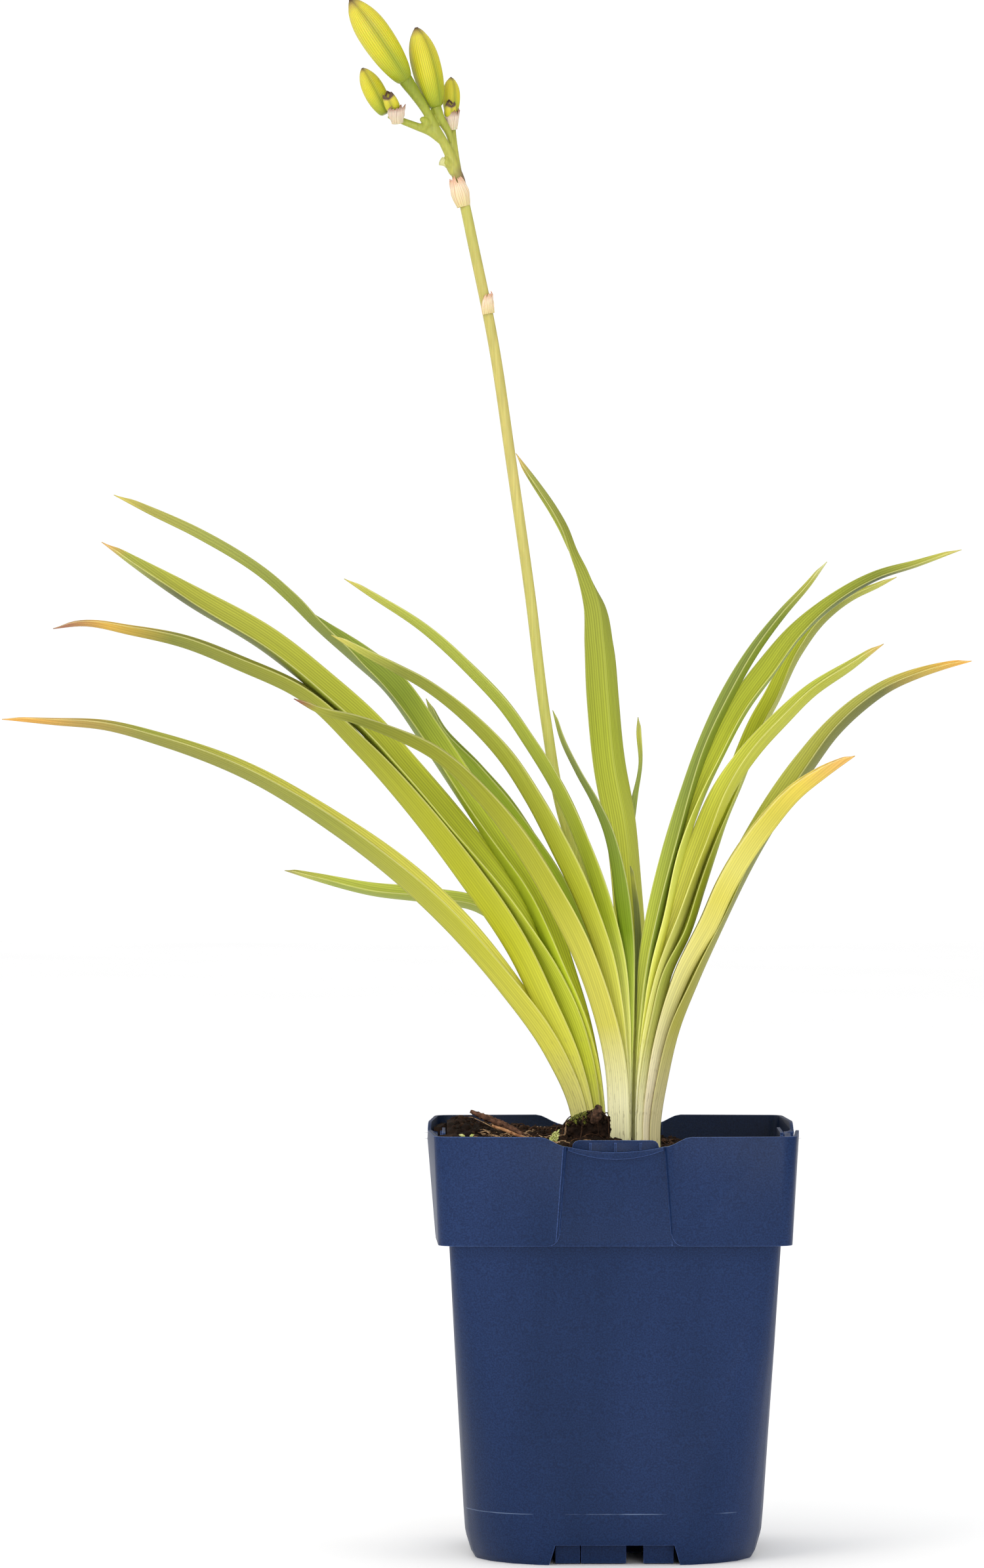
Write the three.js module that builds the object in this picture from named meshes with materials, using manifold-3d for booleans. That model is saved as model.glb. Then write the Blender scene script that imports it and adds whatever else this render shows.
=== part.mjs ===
// Daylily plant in a two-litre square nursery pot.
// Millimetres, +Z up. The origin is the centre of the pot's underside, +X to the right and
// +Y to the back. The plant's shoots spread to the left and right in the XZ plane.
import * as THREE from 'three';
import { mergeVertices } from 'three/addons/utils/BufferGeometryUtils.js';
import Module from 'manifold-3d';

const wasm = await Module();
wasm.setup();

// ---- driving dimensions of the pot ----
const RIM_Z = 158;
const COLLAR_Z = 118;
const WALL = 1.3;
const SHELF = 1.3;
const FLOOR_Z = 7.6;
const FLOOR_TOP = 9;
const COLLAR_HALF_LOW = 64.7;
const COLLAR_HALF_TOP = 66.3;
const COLLAR_CORNER = 5.5;
const WING_FLARE_LOW = 1;
const WING_FLARE_TOP = 2.7;
const WING_ROUND = 4.2;
const PANEL_HALF_TOP = 17.6;
const PANEL_HALF_LOW = 20.6;
const DIP_HALF = 27.6;
const DIP_DEPTH = 3.6;
const SMILE_DROP = 2;
const LIP_HALF = 17.2;
const LIP_HEIGHT = 2.6;
const LIP_PROUD = 0.9;
const LIP_STEPS = 10;
const TAB_HALF = 15.8;
const TAB_TOP = 156.5;
const TAB_FACE = 63.2;
const TAB_THICK = 1.2;
const TAB_ROUND = 2.4;
const RIB_SPACING = 9.2;
const RIB_THICK = 0.7;
const RIB_PROUD = 0.8;
const NOTCH_HALF_LOW = 24;
const NOTCH_HALF_TOP = 21.8;
const PAD_HALF = 11;
const BLOCK_FRONT = 48.5;
const BLOCK_BACK = 45.5;
const FOOT_BLOCKS = [[-21.6, -12.8], [-12.3, 4.2], [10.6, 21.6]];
const BLOCK_LIFT = 0.4;
const SINK = 0.5;
const BODY = [
  // height, half width, corner radius
  [0, 52.1, 35],
  [2.5, 53.2, 34],
  [10.5, 54.8, 32],
  [19, 55.4, 30],
  [45, 56.8, 24],
  [80, 58.7, 14],
  [COLLAR_Z + SINK, 60.7, COLLAR_CORNER],
];
const CORNER_STEPS = 5;

// ---- driving dimensions of the plant ----
const PLANT_DATUM = 1.9; // the tables' heights are measured from this far above the floor
const BLADE_THICK = 0.65;
const BLADE_GAP = 0.3;
const BLADE_STEPS = 17;
const MITRE_LIMIT = 2.2;
const SCAPE_STEPS = 18;
const SCAPE_SIDES = 9;
const BRANCH_SIDES = 8;
const BUD_SIDES = 12;
const BRACT_THICK = 0.65;
const BRACT_ROWS = 4;
const BRACT_COLUMNS = 8;
const BRACT_NARROWING = 0.62;

// ---- driving dimensions of the soil ----
const SOIL_CELLS = 22;
const SOIL_HALF = 68;
const SOIL_GAP = 0.35;
const SOIL_LOW = FLOOR_TOP + SOIL_GAP + 0.05;
const SOIL_LEVEL = 151.1;
const SOIL_SLOPE = [-0.05, 0.012];
const SOIL_ROUGHNESS = 0.7;
const POCKET_Z = 140.5;
const HEAPS = [
  { x: -14, y: -52, rise: 3.4, wide: 12, deep: 13 },
  { x: -10, y: -24, rise: 4.5, wide: 13, deep: 16 },
  { x: -57, y: 6, rise: 6, wide: 9, deep: 22 },
  { x: -30, y: 18, rise: 2.6, wide: 20, deep: 16 },
];
const CLOD = { x: -9.5, y: -21, z: 158.4, width: 9.2, height: 8.2, lumps: 0.13 };

// ---- colours ----
const COLOURS = {
  pot: 0x2b3c62,
  soil: 0x2e1c12,
  leaf: 0xaebb34,
  leafPale: 0xd9cf57,
  leafDark: 0x7c963a,
  scape: 0xc3bf5e,
  bud: 0xd2cf3a,
  bract: 0xd9b595,
  bark: 0x9a6238,
  moss: 0xb9c06a,
};

// ================= solids from rings =================

// One closed solid from a vertex list and a triangle list, turned so that it faces out.
function solidFrom(points, triangles) {
  const vertProperties = new Float32Array(points.flatMap((p) => [p.x, p.y, p.z]));
  let volume = 0;
  for (const [a, b, c] of triangles) {
    volume += points[a].dot(new THREE.Vector3().crossVectors(points[b], points[c]));
  }
  const faces = volume < 0 ? triangles.map(([a, b, c]) => [a, c, b]) : triangles;
  const triVerts = new Uint32Array(faces.flat());
  return new wasm.Manifold(new wasm.Mesh({ numProp: 3, vertProperties, triVerts }));
}

// A solid through a row of rings with the same number of points; the ends are closed by
// a fan from the middle of each end ring.
function loft(rings) {
  const count = rings[0].length;
  const points = rings.flat();
  const triangles = [];
  for (let i = 0; i + 1 < rings.length; i += 1) {
    for (let j = 0; j < count; j += 1) {
      const a = i * count + j;
      const b = i * count + ((j + 1) % count);
      triangles.push([a, b, b + count], [a, b + count, a + count]);
    }
  }
  const first = points.length;
  points.push(middle(rings[0]), middle(rings[rings.length - 1]));
  const last = (rings.length - 1) * count;
  for (let j = 0; j < count; j += 1) {
    const k = (j + 1) % count;
    triangles.push([first, k, j], [first + 1, last + j, last + k]);
  }
  return solidFrom(points, triangles);
}

function middle(ring) {
  const sum = ring.reduce((total, p) => total.add(p), new THREE.Vector3());
  return sum.multiplyScalar(1 / ring.length);
}

// A three.js geometry as a solid, placed by an optional matrix.
function solidOf(geometry, matrix) {
  const bare = geometry.clone();
  bare.deleteAttribute('normal');
  bare.deleteAttribute('uv');
  const merged = mergeVertices(bare, 1e-5);
  if (matrix) {
    merged.applyMatrix4(matrix);
  }
  const vertProperties = new Float32Array(merged.attributes.position.array);
  const triVerts = new Uint32Array(merged.index.array);
  return new wasm.Manifold(new wasm.Mesh({ numProp: 3, vertProperties, triVerts }));
}

function boxSolid(x0, x1, y0, y1, z0, z1) {
  const box = new THREE.BoxGeometry(x1 - x0, y1 - y0, z1 - z0);
  box.translate((x0 + x1) / 2, (y0 + y1) / 2, (z0 + z1) / 2);
  return solidOf(box);
}

// A prism whose outline lies in the XZ plane, between two depths y0 < y1.
function uprightPrism(outline, y0, y1) {
  const shape = new THREE.Shape(outline.map(([x, z]) => new THREE.Vector2(x, z)));
  const prism = new THREE.ExtrudeGeometry(shape, { depth: y1 - y0, bevelEnabled: false });
  prism.rotateX(Math.PI / 2);
  prism.translate(0, y1, 0);
  return solidOf(prism);
}

// The same solid on each of the pot's four sides, joined.
function onFourSides(solid) {
  let all = solid;
  for (let side = 1; side < 4; side += 1) {
    all = all.add(solid.rotate([0, 0, 90 * side]));
  }
  return all;
}

function largestBody(solid) {
  const bodies = solid.decompose();
  bodies.sort((a, b) => b.volume() - a.volume());
  return bodies[0];
}

// ================= the pot =================

function roundedSquare(half, radius, z) {
  const ring = [];
  for (let corner = 0; corner < 4; corner += 1) {
    for (let step = 0; step <= CORNER_STEPS; step += 1) {
      const angle = (Math.PI / 2) * (corner + step / CORNER_STEPS);
      const centre = (Math.PI / 2) * (corner + 0.5);
      const reach = (half - radius) * Math.SQRT2;
      const x = reach * Math.cos(centre) + radius * Math.cos(angle);
      const y = reach * Math.sin(centre) + radius * Math.sin(angle);
      ring.push(new THREE.Vector3(x, y, z));
    }
  }
  return ring;
}

function bodySolid(inset, bottom, top) {
  const rows = BODY.filter(([z]) => z > bottom + SINK);
  const start = bodyAt(bottom);
  const rings = [start, ...rows].map(([z, half, radius]) =>
    roundedSquare(half - inset, Math.max(radius - inset, 1), z));
  const [, half, radius] = BODY[BODY.length - 1];
  rings.push(roundedSquare(half - inset, Math.max(radius - inset, 1), top));
  return loft(rings);
}

// The body's half width and corner radius at a height, between the rows of BODY.
function bodyAt(z) {
  const upper = BODY.findIndex((row) => row[0] > z);
  const [z0, half0, radius0] = BODY[upper - 1];
  const [z1, half1, radius1] = BODY[upper];
  const t = (z - z0) / (z1 - z0);
  return [z, half0 + t * (half1 - half0), radius0 + t * (radius1 - radius0)];
}

// The collar's outline at a height: on every side two raised wings, which start flush at
// the corner and stand proud at their inner edge, and the flat label panel between them.
function collarOutline(z, inset) {
  const t = (z - COLLAR_Z) / (RIM_Z - COLLAR_Z);
  const half = COLLAR_HALF_LOW + t * (COLLAR_HALF_TOP - COLLAR_HALF_LOW) - inset;
  const edge = PANEL_HALF_LOW + t * (PANEL_HALF_TOP - PANEL_HALF_LOW) + inset;
  const radius = COLLAR_CORNER - inset;
  const flare = WING_FLARE_LOW + t * (WING_FLARE_TOP - WING_FLARE_LOW);
  const sideRow = [
    [-edge, half],
    [-edge - 0.3, half + 0.6 * flare],
    [-edge - 1.3, half + flare],
  ];
  const ring = [];
  for (let side = 0; side < 4; side += 1) {
    const turn = (Math.PI / 2) * side;
    const place = (x, y) => ring.push(new THREE.Vector3(
      x * Math.cos(turn) - y * Math.sin(turn), x * Math.sin(turn) + y * Math.cos(turn), z));
    for (const [x, y] of [...sideRow].reverse()) {
      place(-x, y);
    }
    for (const [x, y] of sideRow) {
      place(x, y);
    }
    for (let step = 0; step <= CORNER_STEPS; step += 1) {
      const angle = (Math.PI / 2) * (1 + step / CORNER_STEPS);
      place(radius - half + radius * Math.cos(angle), half - radius + radius * Math.sin(angle));
    }
  }
  return ring;
}

// What is cut from the wings so that their lower corners next to the panel are round.
function wingCorners() {
  const outline = [[SINK, -1], [-WING_ROUND, -1]];
  for (let step = 0; step <= CORNER_STEPS; step += 1) {
    const angle = (Math.PI / 2) * (step / CORNER_STEPS - 1);
    outline.push([WING_ROUND * (Math.cos(angle) - 1), WING_ROUND * (Math.sin(angle) + 1)]);
  }
  outline.push([SINK, WING_ROUND]);
  const corner = (side) => uprightPrism(
    outline.map(([x, z]) => [side * (x - PANEL_HALF_LOW), z + COLLAR_Z]),
    -(COLLAR_HALF_LOW + 2 * WING_FLARE_TOP), -(COLLAR_HALF_LOW + 0.1));
  return corner(1).add(corner(-1));
}

// Height of the rim at a distance x from the middle of a side.
function rimHeight(x) {
  const away = Math.abs(x);
  if (away >= DIP_HALF) {
    return RIM_Z;
  }
  if (away > PANEL_HALF_TOP) {
    const t = (DIP_HALF - away) / (DIP_HALF - PANEL_HALF_TOP);
    return RIM_Z - DIP_DEPTH * t * t * (3 - 2 * t);
  }
  return RIM_Z - DIP_DEPTH - SMILE_DROP * (1 - (away / PANEL_HALF_TOP) ** 2);
}

function rimCutter() {
  const outline = [[DIP_HALF, RIM_Z + 3], [-DIP_HALF, RIM_Z + 3]];
  const steps = 26;
  for (let step = 0; step <= steps; step += 1) {
    const x = DIP_HALF * ((2 * step) / steps - 1);
    outline.push([x, rimHeight(x)]);
  }
  return uprightPrism(outline, -(COLLAR_HALF_TOP + 2 * WING_FLARE_TOP), -(TAB_FACE + 0.8));
}

function lipBand() {
  const upper = [];
  const lower = [];
  for (let step = 0; step <= LIP_STEPS; step += 1) {
    const share = (2 * step) / LIP_STEPS - 1;
    const x = LIP_HALF * share;
    upper.push([x, rimHeight(x)]);
    lower.unshift([x, rimHeight(x) - LIP_HEIGHT * (1 - 0.5 * share * share)]);
  }
  const face = COLLAR_HALF_TOP + LIP_PROUD;
  return uprightPrism([...upper, ...lower], -face, -face + LIP_PROUD + 0.9);
}

function tabPlate(grow) {
  const half = TAB_HALF + grow;
  const top = TAB_TOP + grow;
  const outline = [[-half, COLLAR_Z + SINK], [half, COLLAR_Z + SINK]];
  const steps = 3;
  for (const [side, start] of [[1, 0], [-1, 1]]) {
    for (let step = 0; step <= steps; step += 1) {
      const angle = (Math.PI / 2) * (start + step / steps);
      outline.push([
        side * (half - TAB_ROUND) + TAB_ROUND * Math.cos(angle),
        top - TAB_ROUND + TAB_ROUND * Math.sin(angle),
      ]);
    }
  }
  return uprightPrism(outline, -TAB_FACE - grow, -TAB_FACE + TAB_THICK + grow);
}

function slotRibs() {
  let ribs = null;
  for (const place of [-1, 0, 1]) {
    const x = place * RIB_SPACING;
    const rib = boxSolid(x - RIB_THICK / 2, x + RIB_THICK / 2, -COLLAR_HALF_LOW,
      -TAB_FACE + TAB_THICK / 3, COLLAR_Z + SINK, RIM_Z - DIP_DEPTH - SMILE_DROP - 1);
    const ridge = boxSolid(x - RIB_THICK / 2, x + RIB_THICK / 2, -TAB_FACE - RIB_PROUD,
      -TAB_FACE + TAB_THICK / 3, COLLAR_Z + SINK, TAB_TOP - 1);
    ribs = ribs ? ribs.add(rib).add(ridge) : rib.add(ridge);
  }
  return ribs;
}

function footNotch() {
  const outline = [
    [-NOTCH_HALF_LOW, -1],
    [NOTCH_HALF_LOW, -1],
    [NOTCH_HALF_LOW, 0],
    [NOTCH_HALF_TOP, FLOOR_Z],
    [-NOTCH_HALF_TOP, FLOOR_Z],
    [-NOTCH_HALF_LOW, 0],
  ];
  return uprightPrism(outline, -COLLAR_HALF_LOW, COLLAR_HALF_LOW);
}

// Short moulded blocks set back under each notch, with the drain gap between them.
function footBlocks() {
  let all = null;
  for (const [x0, x1] of FOOT_BLOCKS) {
    const block = boxSolid(x0, x1, -BLOCK_FRONT, -BLOCK_BACK, BLOCK_LIFT, FLOOR_Z + SINK);
    all = all ? all.add(block) : block;
  }
  return all;
}

function potSolid() {
  const outside = bodySolid(0, 0, COLLAR_Z + 2);
  const collar = loft([collarOutline(COLLAR_Z, 0), collarOutline(RIM_Z, 0)]);
  const inside = bodySolid(WALL, FLOOR_TOP, COLLAR_Z + SHELF + 1);
  const collarInside = loft([
    collarOutline(COLLAR_Z + SHELF, WALL),
    collarOutline(RIM_Z, WALL).map((p) => p.setZ(RIM_Z + 1)),
  ]);
  let pot = outside.add(collar).subtract(inside).subtract(collarInside);
  pot = pot.subtract(onFourSides(rimCutter())).subtract(onFourSides(wingCorners()));
  const notch = footNotch();
  pot = pot.subtract(notch).subtract(notch.rotate([0, 0, 90]));
  pot = pot.add(onFourSides(footBlocks()));
  pot = pot.add(boxSolid(-PAD_HALF, PAD_HALF, -PAD_HALF, PAD_HALF, 0, FLOOR_Z + SINK));
  pot = pot.add(onFourSides(lipBand()));
  pot = pot.add(onFourSides(tabPlate(0)));
  return pot.add(onFourSides(slotRibs()));
}

// ================= leaf blades =================

// Every blade is folded along its keel. A row of its table holds the keel's x, y, z, the
// width of one half of the blade, half the angle between the two halves, and the roll:
// 0 opens the fold towards the middle of the shoot, less than 0 turns it to the front.
// side is 1 for a blade that leans left and -1 for one that leans right.
const LEAVES = {
  left_leaf_1: { side: 1, colour: 'leaf', rows: [
    [-14.6, 7, 139, 5.6, 32, 0],
    [-15.4, 7, 160, 6.4, 32, 0],
    [-25, 6.4, 182, 7.8, 33, 0],
    [-42, 3.6, 206, 8.8, 33, -8],
    [-76, -12, 243, 9.2, 31, -18],
    [-105, -28, 266.5, 7.4, 34, -16],
    [-134, -41, 285, 6, 36, -14],
    [-167, -54, 298.5, 4.6, 38, -12],
    [-186, -61, 304, 3.5, 38, -10],
    [-205, -66, 306, 2.2, 38, -8],
    [-223, -70, 308, 0.6, 40, -6],
  ] },
  left_leaf_2: { side: 1, colour: 'leaf', rows: [
    [-12.2, 7, 139, 6.2, 32, 0],
    [-12.9, 7, 158, 6.8, 32, 0],
    [-18.2, 6.6, 177, 7.8, 33, 3],
    [-29, 5, 200, 8.8, 34, 8],
    [-38, 3, 218.6, 9.2, 36, 10],
    [-57, 0, 247, 9.6, 38, 12],
    [-76.5, -4, 273, 9.2, 43, 6],
    [-96, -8, 295.5, 8.2, 43, 2],
    [-115, -12, 314, 6.4, 40, -6],
    [-139.5, -15, 326, 5.8, 38, -8],
    [-159, -18, 334, 4.8, 38, -8],
    [-178.5, -19, 338.7, 3.6, 38, -8],
    [-196, -20, 342, 2, 38, -8],
    [-207, -20, 341, 0.6, 38, -8],
  ] },
  left_leaf_3: { side: 1, colour: 'leaf', rows: [
    [-9.8, 7, 139, 6, 32, 0],
    [-10.6, 7, 160, 7, 32, 0],
    [-17, 7, 191, 8.4, 34, -6],
    [-25, 6.8, 211, 9.2, 36, -16],
    [-37, 6, 232, 9.6, 38, -26],
    [-52, 4.5, 252, 9.8, 38, -30],
    [-66.7, 1.2, 270.3, 9.8, 39, -33],
    [-81.4, -2, 287.7, 9.6, 39, -36],
    [-92, -4.6, 300.6, 9.2, 40, -38],
    [-110.7, -8.8, 317.5, 9.2, 40, -38],
    [-129.7, -8.5, 332.6, 9.1, 40, -38],
    [-159.5, -6, 350.9, 7.2, 40, -36],
    [-179.5, -3, 365.1, 3.4, 40, -34],
    [-190, -1, 373.3, 0.6, 40, -30],
  ] },
  left_leaf_4: { side: 1, colour: 'leaf', rows: [
    [-7, 7, 139, 4.2, 32, 0],
    [-7.4, 7, 160, 5, 32, 0],
    [-14, 6.5, 192, 6.8, 35, -8],
    [-21.6, 6, 212, 8.2, 37, -20],
    [-32.5, 4, 239, 9.2, 38, -32],
    [-47.2, 2, 262, 9.3, 39, -38],
    [-57, 2, 277, 9.3, 40, -39],
    [-71, 6, 298.2, 9, 40, -40],
    [-86.3, 13, 319.2, 8.8, 42, -38],
    [-96.2, 18, 328, 8, 42, -30],
    [-111.5, 26, 341.6, 5.6, 46, -10],
    [-121, 31, 351, 4.4, 48, 20],
    [-130.5, 36, 359.5, 3.8, 44, 30],
    [-156, 47, 375.5, 3.4, 38, 30],
    [-176, 55, 385.5, 2.4, 38, 25],
    [-188, 58, 392, 0.6, 38, 20],
  ] },
  main_left_leaf_1: { side: 1, colour: 'leaf', rows: [
    [-1.4, -4, 139, 8.8, 38, 0],
    [-1.6, -4, 158, 9.2, 38, 0],
    [-2.6, -4.5, 177, 9.2, 38, 0],
    [-8.6, -7, 202.7, 9, 37, 0],
    [-13, -9, 215, 8.8, 36, 0],
    [-26.4, -16, 242.3, 8.6, 36, 0],
    [-37, -24, 260, 8, 36, 0],
    [-47.2, -33, 273.7, 7, 36, 0],
    [-66.7, -53, 293.2, 5.4, 36, 0],
    [-80.8, -68, 300.9, 4.2, 36, 0],
    [-95, -82, 306.6, 3.2, 36, 0],
    [-109, -93, 311, 2, 36, 0],
    [-116.5, -99, 315.6, 0.6, 36, 0],
  ] },
  main_left_leaf_2: { side: 1, colour: 'leaf', rows: [
    [2, -4, 139, 5.2, 38, 0],
    [1.9, -4, 158, 5.4, 38, 0],
    [0.8, -4.2, 177, 6, 38, 0],
    [-2.2, -5.5, 200, 7, 38, 0],
    [-5.9, -7, 218, 7.6, 38, 0],
    [-13.5, -11, 239, 8.2, 38, 0],
    [-22.8, -17, 258.6, 8.2, 38, 0],
    [-32.5, -25, 277.4, 7.2, 38, 0],
    [-42.3, -33, 292.6, 6.4, 38, 0],
    [-52.1, -40, 303.7, 5.6, 38, 0],
    [-71.4, -50, 319.6, 4.4, 38, 0],
    [-81, -54, 325.1, 3.6, 38, 0],
    [-95.3, -60, 333.1, 2.2, 38, 0],
    [-103.6, -63, 338.6, 0.6, 38, 0],
  ] },
  main_left_leaf_3: { side: 1, colour: 'leaf', rows: [
    [3.7, -4, 139, 3.2, 38, 0],
    [3.6, -4, 158, 3.4, 38, 0],
    [3.2, -4, 177, 4, 38, 0],
    [2.2, -4.5, 195, 5, 38, 0],
    [-0.8, -5, 218, 6.4, 38, 0],
    [-4.9, -5.2, 234, 6.8, 40, 0],
    [-10.8, -7.4, 253.5, 6.4, 42, 0],
    [-22.5, -12, 280.8, 5.8, 42, 0],
    [-32.5, -16, 297.4, 5.6, 42, 0],
    [-42.3, -20, 311.6, 5.2, 42, 0],
    [-52.1, -23, 322.3, 4.8, 42, 0],
    [-71.6, -27, 340.4, 3.8, 42, 0],
    [-91.1, -29, 353.6, 2.2, 42, 0],
    [-99.4, -30, 359.4, 0.6, 42, 0],
  ] },
  main_left_leaf_4: { side: 1, colour: 'leafDark', rows: [
    [5.4, -4, 139, 1.2, 38, 0],
    [5.4, -4, 158, 1.4, 38, 0],
    [5, -4, 177, 2.4, 38, 0],
    [4.2, -4.5, 200, 4.2, 38, 0],
    [2.6, -5.5, 226.6, 6.2, 38, 0],
    [0.9, -7, 241, 6.4, 40, 0],
    [-0.8, -9, 254.2, 5.2, 42, 0],
    [-3.7, -12, 266.4, 4, 42, 0],
    [-8.1, -16, 276.9, 3, 42, 0],
    [-14.2, -21, 288.2, 2.2, 42, 0],
    [-20.1, -26, 301.1, 1.6, 42, 0],
    [-22.6, -28, 311, 0.6, 42, 0],
  ] },
  main_right_leaf_1: { side: -1, colour: 'leaf', rows: [
    [18.2, -4, 139, 4.2, 38, 0],
    [18.2, -4, 157.5, 4.4, 38, 0],
    [20.9, -3.4, 173.9, 5, 38, -6],
    [25.3, -3, 192.2, 5.8, 38, -16],
    [31.9, -1.5, 208.8, 6.4, 38, -30],
    [40.5, 1.4, 227.6, 7.6, 38, -38],
    [55.6, 6, 257.6, 8.4, 38, -38],
    [75.7, 11, 288.6, 8, 38, -30],
    [85.3, 12, 301.6, 6.6, 38, -28],
    [95.1, 13, 310.9, 5.8, 38, -26],
    [105, 14, 318, 4.6, 38, -24],
    [115, 14, 322.6, 3.6, 38, -22],
    [124.8, 15, 326, 2.4, 38, -20],
    [135, 15, 329, 0.6, 38, -18],
  ] },
  main_right_leaf_2: { side: -1, colour: 'leafPale', rows: [
    [15.6, -4, 139, 4, 38, 0],
    [15.5, -4, 159, 4.4, 38, 0],
    [17.4, -4.1, 173, 4.8, 38, 0],
    [21, -4.2, 190, 5.4, 37, 0],
    [28.8, -4.6, 211, 6.6, 35, 0],
    [39.2, -7, 230.3, 8, 34, 0],
    [45.4, -11, 244, 8.4, 34, 0],
    [59.6, -22, 266.9, 7.6, 34, 0],
    [68.9, -30, 278.6, 6.4, 34, 0],
    [78.2, -37, 286.6, 4.4, 34, 0],
    [88.3, -43, 294.3, 0.6, 34, 0],
  ] },
  main_right_leaf_3: { side: -1, colour: 'leafDark', rows: [
    [13.9, -4, 139, 5.2, 38, 0],
    [13.9, -4, 158, 5.4, 38, 0],
    [15.7, -3.7, 177, 6, 38, -6],
    [18.9, -3.2, 196, 6.4, 38, -14],
    [22.2, -3, 212, 7, 39, -22],
    [29.7, -2.6, 228.6, 7.2, 40, -29],
    [34.9, -2.6, 244.9, 7.2, 40, -33],
    [38.9, -2.4, 257.4, 7.2, 40, -36],
    [43.4, 0, 270.6, 7, 42, -40],
    [48.3, 4, 281.9, 6.8, 42, -40],
    [58.9, 20, 306.1, 6.4, 42, -36],
    [62.6, 25, 312.5, 6.2, 42, -32],
    [72.6, 42, 331.5, 5.2, 40, -28],
    [83.1, 56, 344.6, 4, 38, -25],
    [93.6, 66, 352.4, 2.8, 38, -22],
    [103.6, 72, 357.2, 1.6, 38, -20],
    [110.4, 76, 361, 0.6, 38, -20],
  ] },
  main_right_leaf_4: { side: -1, colour: 'leaf', rows: [
    [12.4, -4, 139, 4, 38, 0],
    [12.4, -4, 158, 4.2, 38, 0],
    [14, -4, 177, 5.4, 38, -6],
    [16.9, -3.9, 196, 6.4, 38, -14],
    [21.2, -4, 216, 7.8, 39, -24],
    [27.5, -4, 233.2, 8.4, 40, -30],
    [35.9, -4.6, 257.6, 8.4, 40, -32],
    [45.4, -9, 280.8, 7.6, 40, -28],
    [54.8, -15, 295, 6.6, 38, -24],
    [64.4, -21, 305.9, 6, 38, -20],
    [73.9, -26, 315.8, 4.8, 38, -18],
    [88.4, -32, 326.4, 3.2, 38, -18],
    [99.2, -36, 335.4, 0.6, 38, -18],
  ] },
  main_right_leaf_5: { side: -1, colour: 'leaf', rows: [
    [10.9, -4, 139, 2.4, 38, 0],
    [10.9, -4, 158, 2.6, 38, 0],
    [12.4, -4.3, 177, 3.6, 38, -6],
    [14.9, -4.7, 196, 5, 38, -14],
    [18.3, -5.2, 218.6, 6.8, 40, -24],
    [21.4, -5.6, 233.2, 7.4, 40, -30],
    [27.8, -5.4, 260, 7.8, 40, -33],
    [35.9, -2, 281.7, 7.8, 42, -36],
    [40.9, 0, 292, 7.8, 43, -38],
    [50.9, 6, 310.4, 7.8, 44, -40],
    [61, 12, 324.1, 7.6, 44, -40],
    [71, 18, 337.6, 6, 44, -38],
    [81, 23, 347, 4.8, 42, -36],
    [101, 30, 359.6, 3.4, 42, -34],
    [116, 35, 364.6, 2.4, 42, -32],
    [132.8, 40, 371, 0.6, 42, -30],
  ] },
  main_right_leaf_6: { side: -1, colour: 'leaf', rows: [
    [9.4, -4, 139, 0.8, 38, 0],
    [9.5, -4, 158, 1, 38, 0],
    [10.8, -4.8, 177, 1.9, 38, -6],
    [12.9, -5.6, 196, 3.6, 38, -14],
    [15.8, -6.6, 218.6, 5.6, 40, -24],
    [18.7, -7.2, 233.2, 6, 40, -30],
    [24.4, -7, 257.6, 5.8, 40, -33],
    [31, -4.8, 281.6, 4.8, 40, -33],
    [35.8, -2, 295, 4.7, 38, -30],
    [45.6, 4, 315.8, 4.8, 38, -28],
    [55.3, 10, 332.4, 4, 38, -26],
    [65.4, 16, 346, 3, 38, -24],
    [75.2, 21, 357.6, 1.8, 38, -22],
    [81.3, 24, 366.3, 0.6, 38, -22],
  ] },
  back_leaf_1: { side: 1, colour: 'leafDark', rows: [
    [-9, 15.5, 139, 4, 32, 0],
    [-10.5, 16, 160, 4.6, 32, 0],
    [-18, 19, 184, 5.2, 34, -8],
    [-29.5, 26, 209, 5.6, 36, -15],
    [-38.5, 34, 225.5, 5.4, 38, -22],
    [-49.5, 46, 233.6, 5.4, 38, -28],
    [-67, 64, 236.7, 5.5, 38, -30],
    [-92, 86, 239.3, 4.6, 38, -30],
    [-112.5, 102, 244.3, 2.6, 38, -30],
    [-124.3, 110, 247.9, 0.6, 38, -30],
  ] },
  back_leaf_2: { side: 1, colour: 'leafDark', rows: [
    [0.5, 8, 139, 5.6, 36, 0],
    [0.4, 8, 158, 6, 36, 0],
    [-1, 8, 177, 6.8, 36, 0],
    [-6.4, 8, 203, 7.4, 37, 0],
    [-13.4, 8, 221, 7.8, 38, 0],
    [-23, 9, 243, 8, 38, 0],
    [-33.8, 12, 260, 8, 38, 0],
    [-43.3, 16, 273.8, 7.6, 38, -5],
    [-53.3, 22, 286.3, 6.6, 38, -8],
    [-66, 28, 302, 4.6, 38, -10],
    [-69.5, 31, 315, 0.6, 38, -10],
  ] },
  back_leaf_3: { side: 1, colour: 'leaf', rows: [
    [12, 10.5, 139, 5, 50, 100],
    [12, 10.5, 158, 5.4, 50, 100],
    [11, 12, 190, 6.8, 50, 104],
    [9, 15, 225, 7.8, 48, 106],
    [5.6, 19, 267, 8.3, 48, 108],
    [1.4, 23, 290, 8.6, 48, 108],
    [-1, 28, 316, 8.5, 48, 108],
    [-2.5, 33, 336, 7.6, 48, 110],
    [-4.6, 38, 352.7, 5.7, 50, 119],
    [-8.2, 41, 363, 4.3, 46, 148],
    [-12.2, 44, 371, 3.5, 44, 175],
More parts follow.
